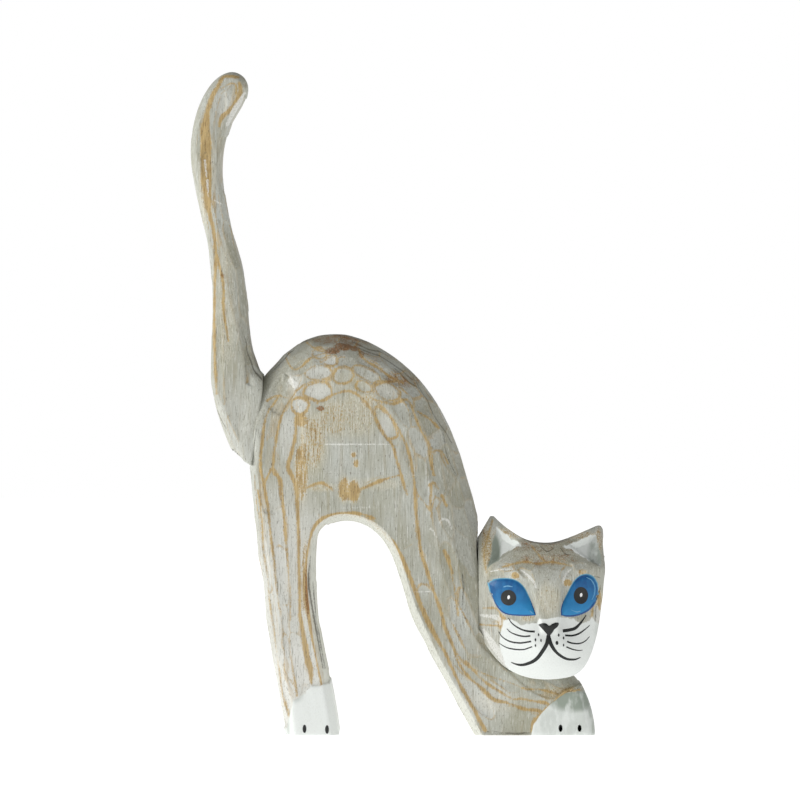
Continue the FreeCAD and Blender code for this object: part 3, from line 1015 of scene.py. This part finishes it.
SCENE_SCALE = 0.6            # millimetres across one of the 800 picture columns
PICTURE = 800
AIM = (1.8, FRONT_Y, 201.3)
CAMERA_DISTANCE = 2500.0
SENSOR = 36.0


KEY_PLACE, KEY_AIM = (-2.6, -0.75, 0.4), (0, 0, 0.15)
KEY_SIZE, KEY_POWER = 1.8, 47.0


def make_key_light():
    """A soft round light low on the cat's left."""
    data = bpy.data.lights.new("key", "AREA")
    data.shape = "DISK"
    data.size = KEY_SIZE
    data.energy = KEY_POWER
    lamp = bpy.data.objects.new("key", data)
    lamp.location = KEY_PLACE
    lamp.rotation_euler = (Vector(KEY_AIM) - Vector(KEY_PLACE)).to_track_quat("-Z", "Y").to_euler()
    bpy.context.scene.collection.objects.link(lamp)


def make_floor():
    """A plain pale floor, just under the paws."""
    bpy.ops.mesh.primitive_plane_add(size=12.0, location=(0, 0, -0.0002))
    floor = bpy.context.object
    floor.name = "floor"
    s = Shader("studio_white")
    s.surface("Base Color", (0.4, 0.4, 0.4, 1))
    s.surface("Roughness", 0.9)
    s.surface("Emission Color", (1, 1, 1, 1))
    s.surface("Emission Strength", 0.95)
    floor.data.materials.append(s.material)


def make_world():
    """White all round, bright at the horizon and dimmer overhead."""
    world = bpy.data.worlds.new("studio")
    bpy.context.scene.world = world
    world.use_nodes = True
    tree = world.node_tree
    sky = tree.nodes["Background"]
    split = tree.nodes.new("ShaderNodeSeparateXYZ")
    tree.links.new(tree.nodes.new("ShaderNodeTexCoord").outputs["Generated"], split.inputs[0])
    fade = tree.nodes.new("ShaderNodeMapRange")
    for name, value in (("From Min", 0.10), ("From Max", 0.40), ("To Min", 1.0), ("To Max", 0.25)):
        fade.inputs[name].default_value = value
    tree.links.new(split.outputs["Z"], fade.inputs["Value"])
    tree.links.new(fade.outputs["Result"], sky.inputs["Strength"])
    sky.inputs["Color"].default_value = (1, 1, 1, 1)


def make_camera():
    """Level and square on to the plank's front, far off with a long lens."""
    data = bpy.data.cameras.new("camera")
    data.sensor_width = SENSOR
    data.lens = SENSOR * CAMERA_DISTANCE / (PICTURE * SCENE_SCALE)
    data.clip_end = 50.0
    camera = bpy.data.objects.new("camera", data)
    camera.location = (AIM[0] * MM, (AIM[1] - CAMERA_DISTANCE) * MM, AIM[2] * MM)
    camera.rotation_euler = (math.radians(90), 0, 0)
    bpy.context.scene.collection.objects.link(camera)
    bpy.context.scene.camera = camera
    bpy.context.scene.view_settings.view_transform = "Standard"


# ------------------------------------------------------------------ where paint, wear, painted shade and painted highlights lie

# Outlines of the white paint, seen from the front
HIND_PAW = [
    (-90, -5), (-66, 5), (-64.6, 13), (-62.4, 20.7), (-58.6, 22.4), (-56.2, 24.6), (-54.8, 27.2),
    (-51.4, 29.2), (-47.2, 29.8), (-43.6, 30.6), (-30, 33), (-30, -5)]
FRONT_PAW = [
    (80, -5), (81.6, 7.5), (86, 13), (91.6, 18.4), (98, 23.4), (102, 25.6), (110, 26.8), (125, 25),
    (125, -5)]
MUZZLE = [
    (63, 65), (64.2, 69.5), (69.5, 70), (74, 67.5), (83.6, 68), (85, 70), (93, 71.4), (99, 71),
    (105, 70.4), (110.5, 67), (114.5, 69.5), (116.6, 72.5), (119.4, 68), (130, 63), (130, 20), (78, 20),
    (70.5, 34), (64.5, 43), (62, 50), (60.6, 57)]


def cell(x, z, wide, high, rise, width):
    """A rubbed line round a roughly oval facet."""
    a = math.radians(rise)
    points = []
    for k in range(9):
        t = 2 * math.pi * k / 8
        uneven = 1 + 0.09 * math.sin(2 * t + x) + 0.08 * math.sin(3 * t + z)
        u, w = uneven * wide / 2 * math.cos(t), uneven * high / 2 * math.sin(t)
        points.append((x + u * math.cos(a) - w * math.sin(a), z + u * math.sin(a) + w * math.cos(a)))
    return points, (width, width * 0.7, width * 1.2, width)


# Edges rubbed through to bare wood on the front: points, and widths spread evenly along them
LEG_WEAR = [
    cell(-58.4, 198, 11, 10, 60, 1.3), cell(-47.2, 206.4, 17, 11.5, 12, 1.1),
    cell(-46.7, 217.6, 17, 8.5, 8, 0.5), cell(-32.2, 216.2, 13, 10, 0, 0.6),
    cell(-40.5, 225.2, 11, 6, 5, 0.4), cell(-46.7, 229.6, 9, 6.5, 10, 0.5),
    ([(-67.5, 227.1), (-61.4, 219.5), (-51.5, 226.8), (-46.1, 226.4)], (0.5, 0.9, 0.7)),
    ([(-55.3, 237.1), (-50, 232.6), (-44.6, 230.9)], (0.5, 0.8, 0.6)),
    ([(-78.6, 200.8), (-73.6, 204.6), (-66.4, 203)], (0.6, 0.8, 0.6)),
    (HIND_RIDGES[1], (0.1, 0.3, 0.1, 0.2)),
    ([(-71.5, 205), (-78.4, 192.8), (-81.1, 174.9), (-82.3, 160)] + HIND_RIDGES[2][:7],
     (0.8, 1.2, 1.6, 1.3, 0.5, 0.3)),
    ([(-68.1, 61.8), (-69.1, 54.8), (-67.5, 48.9), (-67.8, 38.9), (-62.4, 31)], (0.7, 0.5, 0.6)),
    ([(-68.1, 61.8), (-65.4, 58.8), (-64.1, 48.9), (-62.4, 38.9), (-59.9, 24)], (0.7, 0.5, 0.9)),
    ([(-39.1, 213.5), (-52.9, 211.8), (-63.2, 203.5), (-70.4, 188.7),
     (-74.6, 160.4)] + HIND_RIDGES[3][:7], (0.4, 0.9, 1.3, 1.6, 0.5, 0.1)),
    ([(-60.4, 190.8), (-61.1, 180), (-63.2, 170), (-65.6, 161)] + HIND_RIDGES[4][:6],
     (1.2, 1.6, 2.2, 1.4, 1.3)),
    ([(-58.2, 72), (-55.9, 58.8), (-54.4, 48.9), (-51.9, 38.9), (-51.4, 31)], (1.6, 3, 3.2, 1)),
    ([(-80.1, 150.8), (-77.7, 155), (-74.6, 160.4), (-71.1, 153.6), (-69.7, 141.3)], (0.8, 1.2, 0.8)),
    ([(-14, 130.2), (-24.6, 133.2), (-40.5, 131.9), (-49.4, 125.5)] + HIND_RIDGES[5][1:8],
     (1.4, 1.8, 2.2, 4, 3.4, 2.6))]
ARM_WEAR = [
    cell(-6.9, 187, 23, 8.5, -62, 1), cell(-17.7, 216.9, 18, 8, -30, 0.6),
    cell(-20, 209.3, 11, 6, -25, 0.6), cell(-6, 206.8, 17, 10, -35, 0.6),
    ([(-31.7, 133), (-18.6, 130), (-11.3, 124.2)] + ARM_RIDGES[0], (0.8, 1.6, 2.2, 2.4, 1.4, 2)),
    ([(-48, 199), (-39.1, 204.2), (-28.1, 206.6), (-19.1, 200.4), (-12.9, 190.8), (-8.1, 181.1),
     (-2.6, 173.7), (0.3, 163.5), (4.7, 148.9), (6.1, 144.6)], (0.7, 1, 1.4, 1.2, 1)),
    ([(-14.3, 202.1), (-5.3, 193.5), (1.2, 183.2), (7.4, 168.7)] + ARM_RIDGES[1],
     (0.8, 1.3, 1.6, 1.5, 1.2, 1)),
    ([(-14.3, 201.8), (-2.6, 199), (6.4, 201.8), (10.5, 192.8), (14.9, 182.4), (20.7, 172.2),
     (22.1, 156.2)], (1.1, 1, 0.8)),
    ([(-14.8, 208.8), (-8.6, 211.8), (3.6, 213.3)], (0.8, 1, 0.6)),
    ([(-14.8, 208.4), (-13.4, 203.6)], (0.8, 0.8)),
    ([(12.6, 194.6), (19.6, 190.4), (25.4, 184.6)], (0.7, 0.8, 0.5)),
    ([(21.6, 170.4), (27, 171), (31.6, 163.2)], (0.8, 0.9, 0.5)),
    ([(33.8, 53), (37.8, 46.3), (43.9, 40.8), (51.9, 37.1), (61.1, 33.7), (69.6, 31), (77.6, 27.8),
     (85.5, 27.9), (92.9, 26.1), (97.2, 24.3)], (0.8, 0.5, 0.4, 0.6, 1.2)),
    ([(41, 44.5), (43.9, 41.4), (51.9, 32.8), (62.3, 26.1), (69.6, 21.8), (74.5, 22.1), (81.9, 20.6),
     (90.4, 19.4)], (0.6, 1, 1, 1.4, 1.2)),
    ([(47.6, 31), (58, 21.4), (65.3, 20), (74.5, 16.3), (85.5, 14.8)], (1, 1.4, 1, 1.6, 1.8)),
    ([(19.5, 150.2), (22.5, 151.6), (24.8, 147.9)], (1.2, 1.6, 0.8)),
    ([(20.7, 150.4), (20, 135.9)], (1.6, 1)), ([(27, 144), (30.2, 137.7)], (1.4, 0.8)),
    ([(28.6, 111), (31, 104), (33.9, 97)], (1.4, 0.8)),
    ([(18.4, 177), (20.4, 165), (22.7, 156)], (1, 1.4, 0.8)), ([(25.9, 171), (29.6, 162)], (1.2, 0.6)),
    ([(30.9, 108.2), (33.8, 92.2), (36.7, 72)], (0.5, 0.7, 0.4)),
    ([(80, 2), (81.9, 8.3), (85.5, 12.6), (91, 18.7), (97.8, 23.9), (101.4, 26.7), (110, 27.9)],
     (0.8, 2.2, 1, 0.8, 1, 1.4, 1.6)),
    ([(-54, 148.6), (-45.2, 151.7), (-38, 147)], (1, 1.6, 0.8)),
    ([(-23.4, 147), (-9.7, 152.9), (1.8, 156.3)], (1.2, 1.6, 0.6)),
    ([(-22.5, 232), (-21.2, 227.3), (-11.5, 221), (-2.6, 214.9), (4, 212)], (1.4, 1, 0.8))]
TAIL_WEAR = [
    ([(-96, 396.5), (-101.1, 397), (-105.5, 396), (-108.5, 390), (-112, 384), (-114.5, 375), (-116, 365),
     (-115.6, 356), (-115.2, 345), (-114.9, 330), (-113.8, 315), (-111, 304), (-109.5, 290),
     (-109.8, 270), (-110, 235), (-108.5, 205)],
     (1.4, 1.6, 2.4, 2.6, 3, 6.2, 7, 6.6, 2.4, 1.4, 1.2, 1.4, 1.2)),
    ([(-106.9, 366.5), (-106.2, 371), (-101.1, 376.4), (-96.7, 382.2), (-94.2, 388), (-95.3, 393)],
     (0.8, 2.4, 1.8, 2.2, 1)),
    ([(-106.9, 389), (-101, 392.6), (-97.4, 391.5), (-97, 386)], (0.4, 0.8, 0.5)),
    ([(-110.4, 294), (-105, 273), (-104.6, 255), (-101.4, 237)], (0.8, 1.4, 1.4, 0.8))]
FACE_WEAR = [
    ([(63, 101.5), (76, 104.6), (83.7, 103.6), (92.9, 104.6), (104.4, 102.3)], (0.4, 0.9, 0.7, 0.9, 0.4)),
    ([(80.8, 114), (84.8, 108.5), (88.5, 105)], (0.4, 0.8, 0.5)), ([(50, 66.5), (60, 66)], (0.4, 0.8)),
    ([(52, 76.5), (60, 76), (63, 70), (64.5, 62)], (0.5, 1, 2, 0.8)),
    ([(117.5, 78), (116.8, 70), (118.5, 62)], (0.8, 0.5, 0.7)), ([(121, 86), (121.5, 76)], (1, 0.4)),
    ([(53.5, 98), (52.5, 110), (57.6, 128.5)], (0.5, 0.9, 0.5))]

# Places where the wash is thin: x, z, width, height, how bare
BODY_RUBBED = [
    (-26, 168.4, 4, 4, 1.1), (-24.6, 163.2, 4, 6, 1.1), (-31.5, 147.5, 9, 17, 1.15),
    (-26, 146.5, 9, 16, 1.25), (-51, 176, 20, 40, 0.8), (-57.5, 189, 10, 10, 1.1),
    (-57.5, 158, 10, 44, 1), (-46, 149, 20, 6, 0.7), (-38, 190, 24, 26, 0.72), (-24, 193, 30, 30, 0.6),
    (-12, 151, 30, 8, 0.5), (-18, 201, 10, 12, 0.8), (-55, 92, 6, 60, 0.9), (-30, 212, 60, 12, 0.3),
    (100, 25, 26, 10, 0.8), (60, 20, 44, 12, 0.35)]
# Stains and painted shade: the long patches along the top of the back, the one at the shoulder's right edge
# and the one below the head's left cheek are painted shade
BODY_STAIN_AND_SHADE = [
    (-39, 231, 12, 5.5, 1.15), (-32.5, 233.5, 15, 6.5, 1.25), (-25.5, 232.5, 9, 5, 1.1),
    (-21.5, 229, 5, 7, 1), (-46, 196.3, 6, 4, 1.3), (-20, 228, 44, 14, 0.6), (-53.6, 90, 4.5, 46, 1.1),
    (4, 214, 30, 14, 0.8), (-30, 238, 60, 10, 0.85), (14, 200, 24, 24, 0.4), (-36, 188, 18, 20, 0.35),
    (26, 116, 40, 110, 0.16), (54, 56, 30, 44, 0.45), (44, 165, 20, 70, 0.35)]
TAIL_RUBBED = [(-115, 335, 9, 60, 0.8), (-96, 386, 8, 14, 0.6), (-103, 260, 12, 90, 0.5)]
# Stains and painted shade: the patches along the tail's right edge and on its tip are painted shade
TAIL_STAIN_AND_SHADE = [
    (-105, 276, 3, 4, 1), (-90, 240, 10, 70, 0.45), (-92, 394, 8, 9, 0.6), (-98, 290, 10, 60, 0.3)]
FACE_RUBBED = [
    (70.7, 96.5, 6, 5, 1.2), (102, 92, 6, 5, 1.2), (111, 98.5, 6, 4, 1), (90, 82, 16, 22, 0.6),
    (63, 68, 7, 12, 1.1), (78, 71, 10, 5, 0.8), (121, 82, 6, 14, 0.9), (54, 112, 8, 34, 0.85),
    (68, 121, 26, 8, 0.8), (121.5, 117, 6, 18, 0.85), (110, 120, 24, 6, 0.8), (90, 108, 40, 12, 0.4)]
# Painted shade over the forehead, which faces up, and a few stains
FACE_STAIN_AND_SHADE = [
    (90, 114, 60, 12, 0.78), (90, 106, 50, 10, 0.74), (66, 107, 20, 10, 0.4), (114, 106, 18, 10, 0.4),
    (53, 121, 6, 20, 0.6), (86, 113, 8, 4, 0.8), (101, 108, 8, 4, 0.8)]

# Saw marks, a dab of white and two gouge marks on the arm
SAW_MARKS = [
    ([(-43, 174.6), (-4, 174.9)], (0.7, 0.5)), ([(-33.6, 136.7), (-12.6, 136.9)], (0.5, 0.4)),
    ([(-44, 158), (-36, 158)], (0.3, 0.3)), ([(7, 156.3), (13, 156.3)], (0.5, 0.3)),
    ([(11, 86), (20, 86.3)], (0.6, 0.4)), ([(-65, 214), (-61.5, 210.5)], (3, 4)),
    ([(25.6, 127), (27, 129.8), (31, 129), (33, 124)], (0.5, 1.3, 0.8)),
    ([(18.8, 123), (20.7, 124), (23.5, 119)], (0.5, 1.1, 0.6))]
# Painted highlights along the brow ridges and the left edge of the cheek
BROW_AND_CHEEK_HIGHLIGHTS = [
    ([(74.5, 99.6), (78.4, 96.1), (81.8, 92.3), (82.9, 89.3)], (0.8, 1.5, 0.8)),
    ([(99, 91.5), (100.5, 96.5), (104.4, 100.5)], (0.7, 1.2, 0.4)),
    ([(56, 98.5), (63, 100), (70, 100.2)], (0.3, 0.8, 0.4)),
    ([(50, 72), (60, 71), (62, 67)], (1, 3, 1.5)),
    ([(52, 63), (58, 54), (66, 44), (73, 38)], (2, 4, 4, 1.5))]
# Front edge of the arch between the legs; the white along its bevel is a painted highlight
ARCH_EDGE = [
    (-34.8, 0), (-39.7, 29), (-44.6, 52), (-48.4, 80), (-49, 106), (-44, 123.5), (-30.5, 128.6),
    (-13, 122), (-2.8, 107), (6, 79), (21, 46), (34.2, 22), (46.5, 0)]
ARCH_BEVEL = 4.4
# How pale the wash is; the patches low on both legs are painted light from the floor: x, z, width, height,
# amount
BODY_PALE_AND_FLOOR_LIGHT = [
    (-66, 60, 60, 190, 0.66), (-60, 30, 50, 70, 0.95), (40, 20, 60, 26, 0.35), (-62, 212, 12, 14, 0.4),
    (-58.4, 198, 10, 9, 0.5), (-47.2, 206.4, 16, 10, 0.55), (-66, 179.7, 10, 32, 0.4),
    (-6.9, 187, 9, 20, 0.4), (-46.7, 217.6, 17, 8, 0.4), (-40.5, 225.2, 11, 6, 0.4),
    (-6, 207, 16, 9, 0.3), (28, 206, 12, 14, 0.2), (38, 176, 10, 26, 0.2)]
TAIL_PALE = [(-101, 185, 34, 50, 0.2), (-104, 380, 14, 18, 0.35)]
# White marks on the tail; the broad stroke at its tip is a painted highlight on the bright chamfer there
TAIL_WHITE_MARKS_AND_HIGHLIGHTS = [
    ([(-91.5, 386), (-96.5, 377.5), (-102, 368)], (2.4, 4.6, 3)),
    ([(-109.8, 321.8), (-105.5, 319.2)], (0.9, 0.6)), ([(-116, 346), (-115, 336)], (1.2, 0.8)),
    ([(-114.5, 334), (-114, 324)], (1.4, 0.6))]
# Dark hairlines: cracks, and painted shade in gaps, along the foot of the arm and in the sharp hollows
# between facets
BODY_DARK = [
    ([(-51.8, 108), (-52.9, 98), (-52.6, 88), (-50.6, 75), (-47.6, 58), (-44.4, 40)], (0.3, 0.9, 1, 0.5)),
    ([(-50.6, 92), (-49.2, 78), (-46.6, 60), (-43.2, 40)], (0.3, 0.8, 0.7, 0.4)),
    ([(39.4, 97), (40, 88), (39.2, 78), (39.6, 66)], (0.5, 1, 0.4, 0.3)),
    ([(11.5, 214.5), (17.5, 203), (22.5, 193), (34, 176)], (0.3, 0.5, 0.4)),
    ([(-1, 221), (6, 214), (13.3, 209)], (0.4, 0.5, 0.4)),
    ([(-22.5, 233.2), (-12, 228.8), (-1.9, 223.8), (10, 214)], (0.4, 0.5, 0.3)),
    ([(-84, 187), (-85.5, 176), (-86.5, 168)], (0.2, 0.5, 0.3)),
    ([(-59.1, 236.6), (-65.3, 229.8), (-76.5, 219)], (0.3, 0.5, 0.3)),
    ([(-27, 237.4), (-16.3, 232.5), (-7.1, 229.6), (-0.2, 225.8)], (0.3, 0.5, 0.3)),
    ([(27.5, 182), (31, 168), (36, 156)], (0.3, 0.4, 0.2)),
    ([(4, 79), (9, 69), (17, 54), (28, 33), (40, 12)], (0.3, 0.4, 0.4)),
    ([(52, 1.4), (57, 2.6), (63, 1.2)], (0.5, 0.3, 0.6)),
    ([(65, 1.4), (72, 0.9), (79.5, 1.6)], (0.5, 0.9, 0.5)), ([(79.8, 6), (79.9, 2)], (0.4, 0.5)),
    ([(97, 1), (103.5, 1.2)], (0.5, 0.9))]
TAIL_DARK = [
    ([(-82.4, 213.5), (-86.5, 224), (-91, 240)], (0.8, 0.6, 0.3)),
    ([(-109.5, 198), (-106, 190), (-102.6, 184)], (0.2, 0.3, 0.2))]
FACE_DARK = [
    ([(86, 113.6), (90, 110.5), (94, 112.5)], (0.3, 0.5, 0.3)),
    ([(98, 112.5), (101, 109), (104, 108.5)], (0.3, 0.5, 0.3)),
    ([(119.4, 78), (118.6, 68), (117.4, 60)], (0.3, 0.5, 0.2))]
FACE_PALE = [
    (56, 66, 22, 50, 0.2), (62, 46, 30, 24, 0.5), (119, 62, 16, 30, 0.4), (122, 70, 9, 18, 0.8),
    (57, 124, 9, 10, 0.4), (70, 121, 20, 8, 0.35), (121.5, 119, 6, 14, 0.5), (110, 121, 20, 6, 0.35)]
# Where the white paint is so thin that the grey shows through
PAW_THIN = [
    (106, 21.5, 34, 17, 1), (118, 12, 9, 30, 0.7), (100, 8, 44, 22, 0.35), (-62, 24, 12, 10, 0.4),
    (-68, 4, 7, 22, 0.6)]
EAR_THIN = [(56.5, 110, 12, 26, 1.5), (119.5, 108, 10, 20, 0.8), (122, 60, 8, 30, 0.3)]

REAR_SHARE = 0.45                    # the rear got the same wash but less rubbing
BODY_MARKS = {"wear": LEG_WEAR + ARM_WEAR, "white_marks_and_highlights": SAW_MARKS, "dark": BODY_DARK, "rubbed": BODY_RUBBED,
              "stain_and_shade": BODY_STAIN_AND_SHADE, "pale": BODY_PALE_AND_FLOOR_LIGHT, "thin": PAW_THIN}
TAIL_MARKS = {"wear": TAIL_WEAR, "white_marks_and_highlights": TAIL_WHITE_MARKS_AND_HIGHLIGHTS, "dark": TAIL_DARK, "rubbed": TAIL_RUBBED,
              "stain_and_shade": TAIL_STAIN_AND_SHADE, "pale": TAIL_PALE, "thin": []}
FACE_MARKS = {"wear": FACE_WEAR, "white_marks_and_highlights": BROW_AND_CHEEK_HIGHLIGHTS, "dark": FACE_DARK, "rubbed": FACE_RUBBED,
              "stain_and_shade": FACE_STAIN_AND_SHADE, "pale": FACE_PALE, "thin": EAR_THIN}
REAR_WIDTHS = (0.5, 1.2, 0.4, 1.4, 0.6)
BODY_REAR = [(line, REAR_WIDTHS) for line in HIND_RIDGES[2:5] + ARM_RIDGES[1:3]]
TAIL_REAR = [(TAIL_RIDGES[1], REAR_WIDTHS)]


# ------------------------------------------------------------------ build


def stroke_distance(x, z, strokes):
    """Signed distance to the nearest of several tapering strokes."""
    best = np.full(len(x), FAR)
    for points, widths in strokes:
        line = smooth_line(points, 3)
        sizes = np.interp(np.linspace(0, 1, len(line)), np.linspace(0, 1, len(widths)), widths)
        best = np.minimum(best, taper_stroke(x, z, [tuple(p) for p in line], list(sizes)))
    return best


def blots(x, z, places):
    """Soft ovals, each as strong as its last value says."""
    amount = np.zeros(len(x))
    for at_x, at_z, wide, high, strength in places:
        away = np.hypot((x - at_x) / (wide / 2), (z - at_z) / (high / 2))
        amount = np.maximum(amount, strength * smoothstep(1.25, 0.55, away))
    return amount


PAINTED = ("gold", "white_marks_and_highlights", "dark", "rubbed", "stain_and_shade", "pale", "thin", "paint", "bevel")
FACING_FRONT = -0.3                  # marks lie only where the normal's Y is below this


class Finish:
    """What the brush and the wear leave on one piece, per vertex, with the painted shade and highlights
    among them.
    """

    def __init__(self, carving, marks, rear_wear):
        x, y, z = carving.points.T
        front = y < MID_Y
        facing = carving.normals[:, 1] < FACING_FRONT
        self.gold = np.where(front, stroke_distance(x, z, marks["wear"]), stroke_distance(x, z, rear_wear))
        self.white_marks_and_highlights = np.where(facing, stroke_distance(x, z, marks["white_marks_and_highlights"]), FAR)
        self.dark = np.where(facing, stroke_distance(x, z, marks["dark"]), FAR)
        share = np.where(front, 1.0, REAR_SHARE)
        self.rubbed = blots(x, z, marks["rubbed"]) * share
        self.stain_and_shade = blots(x, z, marks["stain_and_shade"]) * share
        self.pale = blots(x, z, marks["pale"]) * share
        self.thin = blots(x, z, marks["thin"]) * smoothstep(MID_Y, FRONT_Y + 6, y)
        self.paint = np.full(len(x), FAR)
        self.bevel = np.full(len(x), FAR)

    def apply(self, carving, material):
        for name in PAINTED:
            carving.attribute(name, getattr(self, name))
        carving.attribute("ridge", carving.ridge)
        carving.attribute("tone", carving.tone)
        mesh = carving.obj.data
        mesh.polygons.foreach_set("use_smooth", [True] * len(mesh.polygons))
        mesh.materials.append(material)


# The slanted seam between rump and tail, seen from the front
SEAM_LOW, SEAM_HIGH = (-88.8, 161.7), (-81.0, 215.0)
SEAM_OVERLAP = 1.3
SEAM_ACROSS = np.array([SEAM_HIGH[1] - SEAM_LOW[1], SEAM_LOW[0] - SEAM_HIGH[0]])
SEAM_ACROSS = SEAM_ACROSS / np.linalg.norm(SEAM_ACROSS)


def seam_distance(carving):
    """How far each vertex lies from the seam's plane, positive on the tail's side."""
    x, _, z = carving.points.T
    return (SEAM_LOW[0] - x) * SEAM_ACROSS[0] + (SEAM_LOW[1] - z) * SEAM_ACROSS[1]


def near_seam(carving):
    """1 along the seam, falling to 0 a little way off, so that both sides stay level there."""
    z = carving.points[:, 2]
    beside = smoothstep(9.0, 3.0, np.abs(seam_distance(carving)))
    return beside * smoothstep(222.0, 214.0, z) * smoothstep(156.0, 162.0, z)


def close_seam(tail):
    """Pushes the tail's seam face a little into the rump, so that no groove shows along it."""
    push = SEAM_OVERLAP * smoothstep(4.0, 0.6, seam_distance(tail))
    tail.points[:, 0] += SEAM_ACROSS[0] * push
    tail.points[:, 2] += SEAM_ACROSS[1] * push
    tail.write()


PAW_STEP = 0.7                       # the leg is cut this much slimmer just above the hind paw


def make_body(body, material, cuts):
    x, _, z = body.points.T
    finish = Finish(body, BODY_MARKS, BODY_REAR)
    hind_paw = region_distance(x, z, HIND_PAW)
    finish.paint = np.minimum(hind_paw, region_distance(x, z, FRONT_PAW))
    finish.bevel = line_distance(x, z, [tuple(p) for p in smooth_line(ARCH_EDGE, 4)]) - ARCH_BEVEL
    sole = smoothstep(1.0, 0.2, z)
    smooth_paws = 0.85 * smoothstep(1.5, -1.5, finish.paint)
    whittle(body, cuts, np.maximum.reduce([sole, smooth_paws, near_seam(body)]))
    step = PAW_STEP * smoothstep(0.0, 0.7, hind_paw) * smoothstep(7.0, 1.5, hind_paw) * (1 - sole)
    body.points -= body.normals * step[:, None]
    body.write()
    finish.apply(body, material)


def make_tail(tail, material, cuts):
    z = tail.points[:, 2]
    finish = Finish(tail, TAIL_MARKS, TAIL_REAR)
    close_seam(tail)
    whittle(tail, cuts, np.maximum(near_seam(tail), smoothstep(392.0, 398.5, z)))
    finish.apply(tail, material)


def make_head(head, material):
    x, y, z = head.points.copy().T
    finish = Finish(head, FACE_MARKS, [])
    finish.paint = region_distance(x, z, MUZZLE)
    ears = np.minimum(region_distance(x, z, list(LEFT_HOLLOW)), region_distance(x, z, list(RIGHT_HOLLOW)))
    finish.paint = np.where(y < FRONT_Y + 8, finish.paint, FAR)
    finish.paint = np.where(y < MID_Y - 4, np.minimum(finish.paint, ears + 0.8), FAR)
    sculpt_face(head)
    cuts = []
    head_cuts(head.tree(), cuts)
    eyes = [region_distance(x, z, upper + lower[1:-1]) for upper, lower in EYES.values()]
    smooth_parts = np.minimum.reduce([finish.paint - 1.5] + eyes)
    whittle(head, cuts, smoothstep(2.0, 0.0, smooth_parts))
    finish.apply(head, material)


def knife_cuts(body_tree, tail_tree):
    """Every facet of the body and the tail, always in this order because each draws random numbers."""
    cuts = []
    back_cuts(body_tree, cuts)
    flank_cuts(body_tree, cuts)
    lane_cuts(body_tree, cuts, HIND_RIDGES, 0.75, 22.0)
    lane_cuts(body_tree, cuts, ARM_RIDGES, 0.75, 24.0)
    side_cuts(body_tree, cuts, (10, 156), 0, plank_half)
    side_cuts(body_tree, cuts, (34, 122), 1, plank_half)
    side_cuts(body_tree, cuts, (10, 110), 2, plank_half)
    side_cuts(tail_tree, cuts, (200, 386), 0, tail_half, 0.4)
    side_cuts(tail_tree, cuts, (218, 380), 1, tail_half, 0.4)
    corner_cuts(tail_tree, cuts)
    lane_cuts(tail_tree, cuts, TAIL_RIDGES, 0.8, 30.0)
    return cuts


def finish_dowels():
    """The hidden dowels keep their CAD shape and get plain wood."""
    material = dowel_wood()
    for name in NODES:
        if "dowel" in name:
            NODES[name].data.materials.clear()
            NODES[name].data.materials.append(material)


body, tail, head = Carving("body"), Carving("tail"), Carving("head")
knife = knife_cuts(body.tree(), tail.tree())
wood = whitewashed_wood()
make_body(body, wood, knife)
make_tail(tail, wood, knife)
make_head(head, wood)
black = plain_paint("black_paint", rgb(14, 17, 16), rgb(28, 31, 29))
make_face(head, black)
make_claws(body, black)
finish_dowels()
make_floor()
make_world()
make_key_light()
make_camera()
